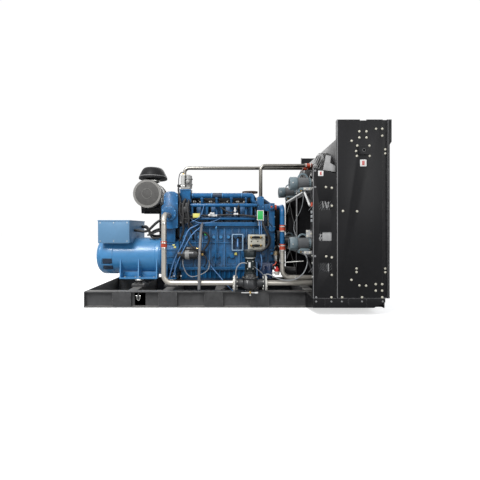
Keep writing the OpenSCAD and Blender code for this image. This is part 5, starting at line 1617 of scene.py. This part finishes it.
@dataclass
class Cooling(Assembly):
    """Coolant pipes, hoses and pump."""

    main: tuple[float, float] = (-0.592, 0.298)
    pump_x: float = 0.242
    pipe: float = 0.03
    riser: tuple[float, float] = (0.644, -0.43)
    vent_bend: float = -0.45
    vent_shift: float = 0.046

    def build(self) -> None:
        """Dresses the pipes and the pump."""
        shop = self.shop
        for node in ("coolant_pipe_left", "coolant_pipe_right"):
            shop.softened(node, "tube_steel", 0.001)
        vents = shop.softened("vent_pipes", "vent_steel", 0.001)
        for corner in vents.data.vertices:
            if corner.co.x < self.vent_bend:
                corner.co.x -= self.vent_shift
        shop.hose(
            "right_pipe_tail", [(0.79, self.main[0], self.main[1]), (0.8935, self.main[0], self.main[1])], 0.0301,
            "tube_steel", False)
        shop.two_tone(shop.softened("coolant_riser", "tube_steel", 0.001), "engine_blue", 0.7)
        shop.softened("hose_couplings", "hose_red", 0.001)
        shop.softened("pump_body", "cast_black", 0.003)
        shop.softened("pump_motor", "motor_green", 0.002)
        self._clamps()
        self._flanges()
        self._pump()

    def _clamps(self) -> None:
        """Sets the hose clamps on the red couplings."""
        shop = self.shop
        x, y = self.riser
        upright = grid(UP, (-0.76,), (self.main[0],), (0.707, 0.763))
        upright += grid(UP, (x,), (y,), (0.667, 0.723, 0.897, 0.953))
        shop.bands("coupling_clamps", upright, self.pipe + 0.0065)
        level = grid(RIGHT, (0.98, 1.036), (-0.195,), (1.7411,)) + grid(RIGHT, (0.967, 1.023), (-0.06,), (1.735,))
        shop.bands("vent_coupling_clamps", level, 0.0295)
        shop.bands(
            "pipe_joint_bands", [((-0.76, self.main[0], 0.99), UP), ((0.8, y, 0.334), RIGHT)], self.pipe + 0.0003)
        shop.collar("strut_clamp", 0.0302, 0.0345, 0.018, (x, y, 0.508), UP, "bright_zinc", 32)
        shop.hose("riser_strut", [(x + 0.03, y, 0.518), (0.893, -0.47, 0.538)], 0.0065, "bright_zinc", False)

    def _flanges(self) -> None:
        """Bolts the pump's flanges through."""
        shop = self.shop
        y, z = self.main
        left, right = 0.0515, 0.4325
        bolts = ring((left, y, z), 0.07, 8, LEFT, 22.5) + ring((right, y, z), 0.07, 8, RIGHT, 22.5)
        shop.bolts("pump_flange_bolts", bolts, 0.02, 0.011)
        nuts = ring((0.0879, y, z), 0.07, 8, RIGHT, 22.5) + ring((0.3961, y, z), 0.07, 8, LEFT, 22.5)
        shop.bolts("pump_flange_nuts", nuts, 0.02, 0.011)
        for name, x in (("left", 0.0518), ("right", 0.4146)):
            shop.collar("flange_edge_" + name, 0.0868, 0.0884, 0.0172, (x, y, z), RIGHT, "flange_pale", 48)

    def _pump(self) -> None:
        """Adds the pump's plate, bright ring, box lid, conduit and drain lever."""
        shop = self.shop
        x, y = self.pump_x, self.main[0]
        shop.collar("motor_ring", 0.0592, 0.0645, 0.011, (x, y, 0.586), UP, "bright_zinc", 48)
        shop.bolts("motor_ring_studs", ring((x, y, 0.5971), 0.0655, 4, UP, 45), 0.008, 0.01)
        shop.fit("pump_plate", (x - 0.023, y - 0.0752, 0.484), (x + 0.003, y - 0.0728, 0.546), "plate_white", 0.0008)
        shop.fit("pump_box_lid", (x - 0.037, y - 0.0762, 0.464), (x + 0.037, y - 0.0722, 0.562), "motor_green", 0.002)
        shop.fit("pump_label", (x - 0.02, y - 0.0775, 0.486), (x + 0.004, y - 0.0755, 0.545), "plate_white", 0.0008)
        shop.bolts("pump_box_screws", grid(NEAR, (x - 0.031, x + 0.031), (y - 0.0763,), (0.47, 0.556)), 0.007, 0.003)
        lantern = [(0.063, 0), (0.063, 0.006), (0.056, 0.01), (0.061, 0.03), (0.066, 0.036), (0.066, 0.04)]
        shop.turned("pump_lantern", lantern, (x, y, 0.3665), UP, "cast_aluminium", 40)
        shop.bolts("pump_volute_bolts", ring((x, y, 0.3662), 0.084, 12, UP, 0), 0.012, 0.009)
        shop.collar("cowl_seam", 0.0708, 0.0722, 0.004, (x, y, 0.664), UP, "plastic_black", 48)
        shop.hose("pump_conduit_left", [
            (x - 0.036, y - 0.06, 0.53), (x - 0.085, y - 0.055, 0.545), (x - 0.14, y - 0.05, 0.52),
            (x - 0.168, y - 0.045, 0.455), (x - 0.164, y - 0.03, 0.385)], 0.0062, "line_grey")
        shop.hose("pump_conduit_right", [
            (x + 0.036, y - 0.06, 0.5), (x + 0.075, y - 0.05, 0.47), (x + 0.125, y - 0.04, 0.43),
            (x + 0.163, y - 0.03, 0.386)], 0.0035, "line_grey")
        shop.turned(
            "drain_lever", [(0.005, 0), (0.005, 0.15), (0.009, 0.156), (0.011, 0.176), (0.008, 0.19)],
            (x - 0.102, y - 0.085, 0.2002), RIGHT, "plate_white", 12)
        shop.turned(
            "drain_body", [(0.014, 0), (0.014, 0.03), (0.01, 0.034), (0.01, 0.052)], (x, y - 0.045, 0.2002), NEAR,
            "brass", 12)
        shop.turned(
            "drain_spout", [(0.008, 0), (0.008, 0.022), (0.012, 0.024), (0.012, 0.034)], (x, y - 0.085, 0.2002), DOWN,
            "bright_zinc", 10)


@dataclass
class Radiator(Assembly):
    """Radiator box, core, guards, fans and their panels."""

    side: float = 0.9203
    fold: float = 0.9043
    fans_y: float = 0.47
    fans_z: tuple[float, float] = (0.746, 1.47)
    cone_x: float = 0.9773
    cone_radius: float = 0.116
    cone_slope: float = 0.3775
    edge_foot: float = 0.192
    edge_top: float = 2.083
    panel_px: tuple[tuple[float, float], ...] = (
        (359.3, 131.4), (366.4, 131.4), (359.3, 137.6), (366.4, 137.6), (376.0, 128.9), (382.2, 128.8),
        (382.2, 135.8), (351.6, 140.9), (357.3, 145.7), (369.4, 145.7), (356.1, 151.1), (356.8, 156.0),
        (369.5, 156.0), (342.9, 211.0), (357.1, 211.4), (356.5, 268.5), (356.5, 272.1), (351.4, 279.9),
        (359.3, 285.4), (366.0, 285.7), (375.7, 284.2), (382.1, 284.2), (375.7, 290.7), (382.1, 290.7),
        (342.1, 297.3), (362.0, 297.3), (382.2, 297.3))
    fold_px: tuple[tuple[float, float], ...] = ((385.2, 149.5), (385.2, 153.5), (385.2, 268.6), (385.2, 272.3))
    box_px: tuple[tuple[float, float], ...] = (
        (325.9, 187.1), (331.8, 187.9), (331.8, 205.8), (326.2, 256.4),
        (331.8, 257.4), (331.8, 274.9), (331.4, 297.3))
    dim_px: tuple[tuple[float, float], ...] = ((315.2, 187.0), (315.1, 256.2), (316.2, 297.3), (315.2, 170.8))

    def build(self) -> None:
        """Dresses the radiator and the fans."""
        shop = self.shop
        for node in (
                "radiator_side_near", "radiator_side_far", "fan_plate", "fan_box_near", "fan_box_far", "core_guard"):
            shop.softened(node, "sheet_black", 0.0012)
        brackets = shop.softened("motor_brackets", "sheet_black", 0.001)
        shop.zone(brackets, "galv_pale", lambda spot: abs(spot.y) > 0.87 and spot.x > 1.0)
        shop.softened("fan_motors", "cowl_grey", 0.002)
        shop.softened("fan_impellers", "cast_aluminium", 0.0)
        shop.softened("fan_guards", "sheet_black", 0.0)
        shop.paint_node("radiator_core", "fin_metal")
        self._panel_bolts()
        self._edge_highlights()
        self._plates()
        self._windows()
        self._guard_wires()
        self._motors()
        self._conduits()
        self._hoses()
        self._header()

    def _panel_bolts(self) -> None:
        """Sets the cream headed bolts of both side panels."""
        shop = self.shop
        places = []
        for group, depth in ((self.panel_px, self.side), (self.box_px, self.side), (self.fold_px, self.fold)):
            for across, down in group:
                x, _, z = seen(across, down, -depth)
                places += [((x, -depth, z), NEAR), ((x, depth, z), FAR)]
        pattern = shop.lathe("bolt", [
            (0.0125, 0), (0.0125, 0.0022), (0.0095, 0.003), (0.0095, 0.0075), (0.0058, 0.01)], steps=12)
        shop.spread("panel_bolts", pattern, places, "bolt_cream")
        dim = [seen(across, down, -self.side) for across, down in self.dim_px]
        shop.bolts(
            "edge_bolts", [((x, y, z), NEAR) for x, y, z in dim] + [((x, -y, z), FAR) for x, y, z in dim], 0.014, 0.007,
            "edge_grey")
        flange = grid(LEFT, (0.8948,), (-0.893, 0.893), (0.415, 0.562, 0.64, 1.055, 1.11, 1.36, 1.44))
        shop.bolts("box_flange_bolts", flange, 0.018, 0.01)

    def _edge_highlights(self) -> None:
        """Runs pale strips down the folded corners as painted highlights of the bends."""
        shop = self.shop
        runs = []
        for side in (-1, 1):
            y = side * (self.side - 0.004)
            for x, thick in ((1.1535, 0.0048), (1.689, 0.0042)):
                runs.append(((x, y, self.edge_foot), (x, y, self.edge_top), thick))
            runs += [((0.901, y, 0.1935), (1.14, y, 0.1935), 0.004), ((1.156, y, 0.1935), (1.687, y, 0.1935), 0.004)]
        y = 0.004 - self.side
        runs.append(((0.899, y, self.edge_foot), (0.899, y, 1.574), 0.0048))
        # Pale strips painted on as highlights along the folded edges.
        made = [shop.cable("trim", [a, b], r, 2, False) for a, b, r in runs]
        shop.dress(shop.merge("corner_highlight_strips", *made), "edge_grey")
        shop.hose("divider_conduit", [(0.8985, -0.03, 0.74), (0.8985, -0.03, 1.472)], 0.0085, "edge_grey", False)
        shop.bands("divider_saddles", grid(UP, (0.8985,), (-0.03,), (0.8, 1.1, 1.4)), 0.0088)

    def _plates(self) -> None:
        """Sets the bare plates and the eye of each lifting pad."""
        shop = self.shop
        for side, name, outward in SIDES:
            low, high = sorted((side * self.side, side * (self.side + 0.0016)))
            shop.fit("panel_plate_" + name, (1.392, low, 1.588), (1.46, high, 1.66), "plate_white", 0.0006)
            shop.fit(
                "panel_plate_mark_" + name, (1.412, low - 0.0006, 1.6), (1.44, high + 0.0006, 1.648), "plate_mark",
                0.0004)
            shop.fit("box_plate_" + name, (0.948, low, 1.486), (1.004, high, 1.542), "plate_white", 0.0006)
            shop.fit(
                "box_plate_mark_" + name, (0.966, low - 0.0006, 1.496), (0.986, high + 0.0006, 1.532), "plate_mark",
                0.0004)
            shop.collar(
                "pad_eye_" + name, 0.0132, 0.0185, 0.003, (1.423, side * 0.9455, 1.754), outward, "skid_black", 24)

    def _windows(self) -> None:
        """Fills the hand windows with mesh and the light plate behind the middle one, with black plates behind them as
        painted shade of the box's inside.
        """
        shop = self.shop
        for side, name, _ in SIDES:
            y = side * 0.9125
            wires = []
            for z in (0.519, 0.845, 1.176):
                for x in [1.024 + 0.026 * i for i in range(-5, 6)]:
                    wires.append(shop.cable(
                        "wire", [(x - 0.045, y, z - 0.055), (x + 0.045, y, z + 0.055)], 0.0011, 0, False))
            shop.dress(shop.merge("window_wires_" + name, *wires), "line_grey")
        shop.fit("window_plate", (0.996, -0.911, 0.8), (1.1, -0.908, 0.892), "galv_pale", 0.001)
        strips = (
            ((0.966, 0.815), (0.984, 0.87), 0.007), ((0.974, 0.8), (0.992, 0.838), 0.005),
            ((1.008, 1.15), (0.998, 1.222), 0.006), ((1.046, 1.148), (1.026, 1.22), 0.008),
            ((1.058, 1.16), (1.062, 1.215), 0.006), ((1.062, 0.476), (1.06, 0.56), 0.006))
        made = [shop.cable("strip", [(a[0], -0.905, a[1]), (b[0], -0.905, b[1])], r, 1, False) for a, b, r in strips]
        shop.dress(shop.merge("window_stays", *made), "galv_pale")
        # Black plates behind the windows stand for the shaded inside of the box: painted shade.
        for low, high in ((-0.9015, -0.8985), (0.8985, 0.9015)):
            shop.fit("window_shade_back", (0.945, low, 0.455), (1.105, high, 1.24), "plastic_black", 0.001)

    def _fans(self, x: float) -> Places:
        """Returns the four fan centres at one X."""
        return grid(RIGHT, (x,), (-self.fans_y, self.fans_y), self.fans_z)

    def _guard_wires(self) -> None:
        """Rings every fan guard with fine wires on its slots."""
        shop = self.shop
        wires = []
        for radius in (0.14, 0.158, 0.176, 0.194, 0.21, 0.25, 0.268, 0.286, 0.304, 0.32):
            at = self.cone_x + (radius - self.cone_radius) * self.cone_slope + 0.0012
            wires.append(shop.hoop("wire", radius - 0.0014, radius + 0.0014, 0.0028, (0, 0, at), UP, 48))
        pattern = shop.merge("wires", *wires)
        shop.spread("guard_wires", pattern, self._fans(0), "sheet_black")
        hub = shop.lathe("hub", [
            (0.06, 0), (0.06, 0.003), (0.022, 0.006), (0.02, 0.012), (0.01, 0.014)], (0, 0, 1.1412), UP, 24)
        shop.spread("hub_caps", hub, self._fans(0), "cast_black")

    def _motors(self) -> None:
        """Adds cowl grilles, body rings, glands and foot bolts to the fan motors."""
        shop = self.shop
        centres = [(y, z) for (_, y, z), _ in self._fans(0)]
        grille = shop.merge(
            "grille",
            *[shop.hoop("slot", r, r + 0.0045, 0.0012, (0, 0, -0.0009), UP, 36) for r in (0.016, 0.027, 0.038, 0.049)])
        shop.spread("cowl_grilles", grille, self._fans(0.725), "plastic_black")
        skin = shop.hoop("skin", 0.0716, 0.0726, 0.128)
        shop.spread("motor_bodies", skin, self._fans(0.8145), "motor_dark")
        shop.bolts("cowl_screws", [((0.752, y - 0.0795, z), NEAR) for y, z in centres], 0.01, 0.005)
        shop.bolts(
            "motor_foot_bolts",
            [((x, y + dy, z - 0.0655), UP) for y, z in centres for x in (0.838, 0.95) for dy in (-0.054, 0.054)], 0.013,
            0.008)
        gland = [(0.014, 0), (0.014, 0.012), (0.01, 0.016), (0.01, 0.028)]
        pattern = shop.lathe("gland", gland, steps=10)
        shop.spread("motor_glands", pattern, [((0.856, y - 0.034, z - 0.092), NEAR) for y, z in centres], "brass")

    def _conduits(self) -> None:
        """Runs the grey cables between pump, motors and fan box."""
        shop = self.shop
        low, high = self.fans_z
        arc = [
            (0.856, -0.531, low - 0.092), (0.872, -0.56, low - 0.1), (0.905, -0.58, 0.61), (0.915, -0.6, 0.555),
            (0.893, -0.615, 0.465), (0.84, -0.63, 0.385), (0.745, -0.642, 0.335), (0.64, -0.645, 0.335),
            (0.56, -0.64, 0.352), (0.49, -0.625, 0.392), (0.44, -0.605, 0.41), (0.406, -0.594, 0.388)]
        shop.hose("pump_cable", arc, 0.0065, "line_grey")
        drop = [
            (0.856, -0.531, high - 0.092), (0.88, -0.545, 1.345), (0.878, -0.5, 1.2), (0.85, -0.4, 1.1),
            (0.815, -0.3, 1.02), (0.8, -0.3, 0.93), (0.81, -0.36, 0.86), (0.82, -0.42, 0.826)]
        shop.hose("motor_cable_near", drop, 0.0042, "line_grey")
        far = [
            (0.856, 0.405, high - 0.092), (0.88, 0.395, 1.33), (0.885, 0.35, 1.2), (0.89, 0.2, 1.05),
            (0.893, 0.05, 0.95), (0.894, -0.018, 0.9)]
        shop.hose("motor_cable_far", far, 0.0055)
        up = [
            (0.856, 0.405, low - 0.092), (0.88, 0.39, 0.62), (0.89, 0.25, 0.5), (0.893, 0.1, 0.4), (0.894, 0.018, 0.36)]
        shop.hose("motor_cable_far_low", up, 0.0055)
        shop.hose("upper_stay_a", [seen(286.5, 202.3, -0.4), seen(302.5, 192.3, -0.55)], 0.009, "plate_white", False)
        shop.hose("upper_stay_b", [seen(304.6, 192.5, -0.6), seen(309.8, 205.5, -0.85)], 0.012, "plate_white", False)
        shop.fit("junction_plate", (0.83, -0.8805, 0.835), (0.898, -0.876, 0.915), "galv_pale", 0.001)
        shop.fit("junction_plate_low", (0.805, -0.8805, 0.655), (0.898, -0.876, 0.69), "galv_pale", 0.001)
        shop.fit("junction_plate_high", (0.8, -0.8805, 1.34), (0.898, -0.876, 1.372), "galv_pale", 0.001)
        shop.bolts(
            "junction_bolts",
            [((x, -0.8807, z), NEAR) for x, z in (
                (0.842, 0.85), (0.842, 0.9), (0.885, 0.875), (0.822, 0.672), (0.868, 0.672), (0.818, 0.852 + 0.504),
                (0.866, 0.852 + 0.504))], 0.013, 0.008, "bolt_cream")
        shop.turned(
            "orange_gland", [(0.013, 0), (0.015, 0.006), (0.015, 0.03), (0.01, 0.036), (0.01, 0.046)],
            (0.8905, -0.89, 1.165), UP, "hose_red", 12)
        plug = shop.block("plug", (-0.011, -0.012, 0.0), (0.011, 0.012, 0.03), 0.003)
        shop.spread("white_plugs", plug, grid(UP, (0.888,), (-0.892,), (1.0, 1.045, 1.09)), "line_grey")
        shop.hose("flange_cable", [
            (0.8905, -0.89, 1.21), (0.885, -0.885, 1.26), (0.882, -0.882, 1.31), (0.884, -0.88, 1.345)], 0.006)
        shop.hose("flange_cable_low", [
            (0.888, -0.892, 1.001), (0.88, -0.89, 0.97), (0.884, -0.886, 0.93), (0.88, -0.882, 0.905)], 0.006)

    def _hoses(self) -> None:
        """Leads the two big coolant hoses from the engine to the core."""
        shop = self.shop
        for i, (z, start) in enumerate(((0.735, 0.735), (0.345, 0.48))):
            route = [(0.5745, 0.188, start), (0.64, 0.188, start), (0.7, 0.188, z), (0.79, 0.17, z)]
            route += [(0.88, 0.1, z), (0.96, 0.079, z), (1.06, 0.079, z), (1.142, 0.079, z)]
            shop.hose(f"radiator_hose_{i}", route, 0.053)
            shop.bands(
                f"radiator_hose_clamps_{i}", [((1.118, 0.079, z), RIGHT), ((0.592, 0.188, start), RIGHT)], 0.0535)

    def _header(self) -> None:
        """Adds the filler neck, its cap and the guard's bolts."""
        shop = self.shop
        shop.turned(
            "filler_neck", [(0.034, 0), (0.034, 0.03), (0.04, 0.034), (0.04, 0.042)], (1.42, -0.62, 1.8722), UP,
            "brass_dull", 28)
        shop.turned(
            "filler_cap", [(0.042, 0), (0.046, 0.003), (0.046, 0.014), (0.034, 0.02), (0.012, 0.024)],
            (1.42, -0.62, 1.914), UP, "bright_zinc", 12)
        guard = grid(RIGHT, (1.7085,), (-0.88, 0.88), (0.225, 0.6, 1.0, 1.4, 1.78))
        guard += grid(RIGHT, (1.7272,), (-0.88, -0.44, 0.0, 0.44, 0.88), (1.905, 2.05))
        guard += grid(RIGHT, (1.7085,), (-0.44, 0.0, 0.44), (0.215,))
        shop.bolts("guard_bolts", guard, 0.018, 0.008, "bolt_cream")


@dataclass
class Studio:
    """Floor, light and camera."""

    floor_size: float = 60.0
    aim: Point = (0.0, 0.0, 0.9)
    sensor: float = 36.0

    def build(self) -> None:
        """Makes the floor, the world, the lamps and the camera."""
        self._floor()
        self._world()
        self._lamps()
        self._camera()

    def _floor(self) -> None:
        """Lays a pale floor just under the skid."""
        bpy.ops.mesh.primitive_plane_add(size=self.floor_size, location=(0, 0, -0.0005))
        floor = bpy.context.object
        floor.name = "floor"
        material = bpy.data.materials.new("floor_white")
        material.use_nodes = True
        n = Nodes(material.node_tree)
        dull = n.add("BsdfPrincipled", {"Roughness": 0.95, "Specular IOR Level": 0.1, "Base Color": MID_GREY})
        bright = n.add("BsdfPrincipled", {
            "Roughness": 0.95, "Specular IOR Level": 0.0, "Base Color": (0.9, 0.9, 0.9, 1),
            "Emission Color": (1, 1, 1, 1), "Emission Strength": 0.6})
        path = n.add("LightPath").outputs
        direct = n.maths("MAXIMUM", path["Is Camera Ray"], path["Is Transmission Ray"])
        n.link(n.choose(direct, dull, bright), n.add("OutputMaterial").inputs["Surface"])
        floor.data.materials.append(material)

    def _world(self) -> None:
        """Sets a white background with a softer light on the object."""
        world = bpy.data.worlds.new("studio")
        bpy.context.scene.world = world
        world.use_nodes = True
        n = Nodes(world.node_tree)
        white = n.add("Background", {"Color": (1, 1, 1, 1), "Strength": 1.02})
        light = n.add("Background", {"Color": (0.95, 0.97, 1, 1), "Strength": 0.5})
        path = n.add("LightPath").outputs
        direct = n.maths("MAXIMUM", path["Is Camera Ray"], path["Is Glossy Ray"])
        direct = n.maths("MAXIMUM", direct, path["Is Transmission Ray"])
        n.link(n.choose(direct, light, white), n.add("OutputWorld").inputs["Surface"])

    def _lamps(self) -> None:
        """Hangs three soft lamps."""
        for name, place, size, power in (
            ("key", (-2.5, -4.5, 5.0), 2.4, 400.0),
            ("fill", (4.0, -5.0, 2.5), 3.0, 70.0),
            ("back", (0.0, 5.0, 4.5), 4.0, 160.0),
        ):
            data = bpy.data.lights.new(name, "AREA")
            data.size, data.energy = size, power
            lamp = bpy.data.objects.new(name, data)
            bpy.context.collection.objects.link(lamp)
            lamp.location = place
            lamp.rotation_euler = (Vector(self.aim) - Vector(place)).to_track_quat("-Z", "Y").to_euler()

    def _camera(self) -> None:
        """Puts the camera at the photograph's viewpoint."""
        data = bpy.data.cameras.new("view")
        data.sensor_width = self.sensor
        data.lens = data.sensor_width * FOCAL_PX / FRAME_PX
        data.shift_x = (FRAME_PX / 2 - AXIS_PX[0]) / FRAME_PX
        data.shift_y = (AXIS_PX[1] - FRAME_PX / 2) / FRAME_PX
        camera = bpy.data.objects.new("view", data)
        bpy.context.collection.objects.link(camera)
        camera.location = EYE
        camera.rotation_euler = (math.pi / 2, 0, 0)
        bpy.context.scene.camera = camera
        bpy.context.scene.view_settings.view_transform = "Standard"


def main() -> None:
    """Builds the looks in order."""
    logging.basicConfig(level=logging.INFO, format="%(name)s: %(message)s")
    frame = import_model()
    studio = Studio()
    studio.build()
    shop = Shop(frame, Finishes())
    for assembly in (Skid, Alternator, Engine, Wiring, Fittings, Intake, Cooling, Radiator):
        assembly(shop).build()
        LOG.info("%s done, %d pieces so far", assembly.__name__, shop.count)
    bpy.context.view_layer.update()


if __name__ == "__main__":
    main()
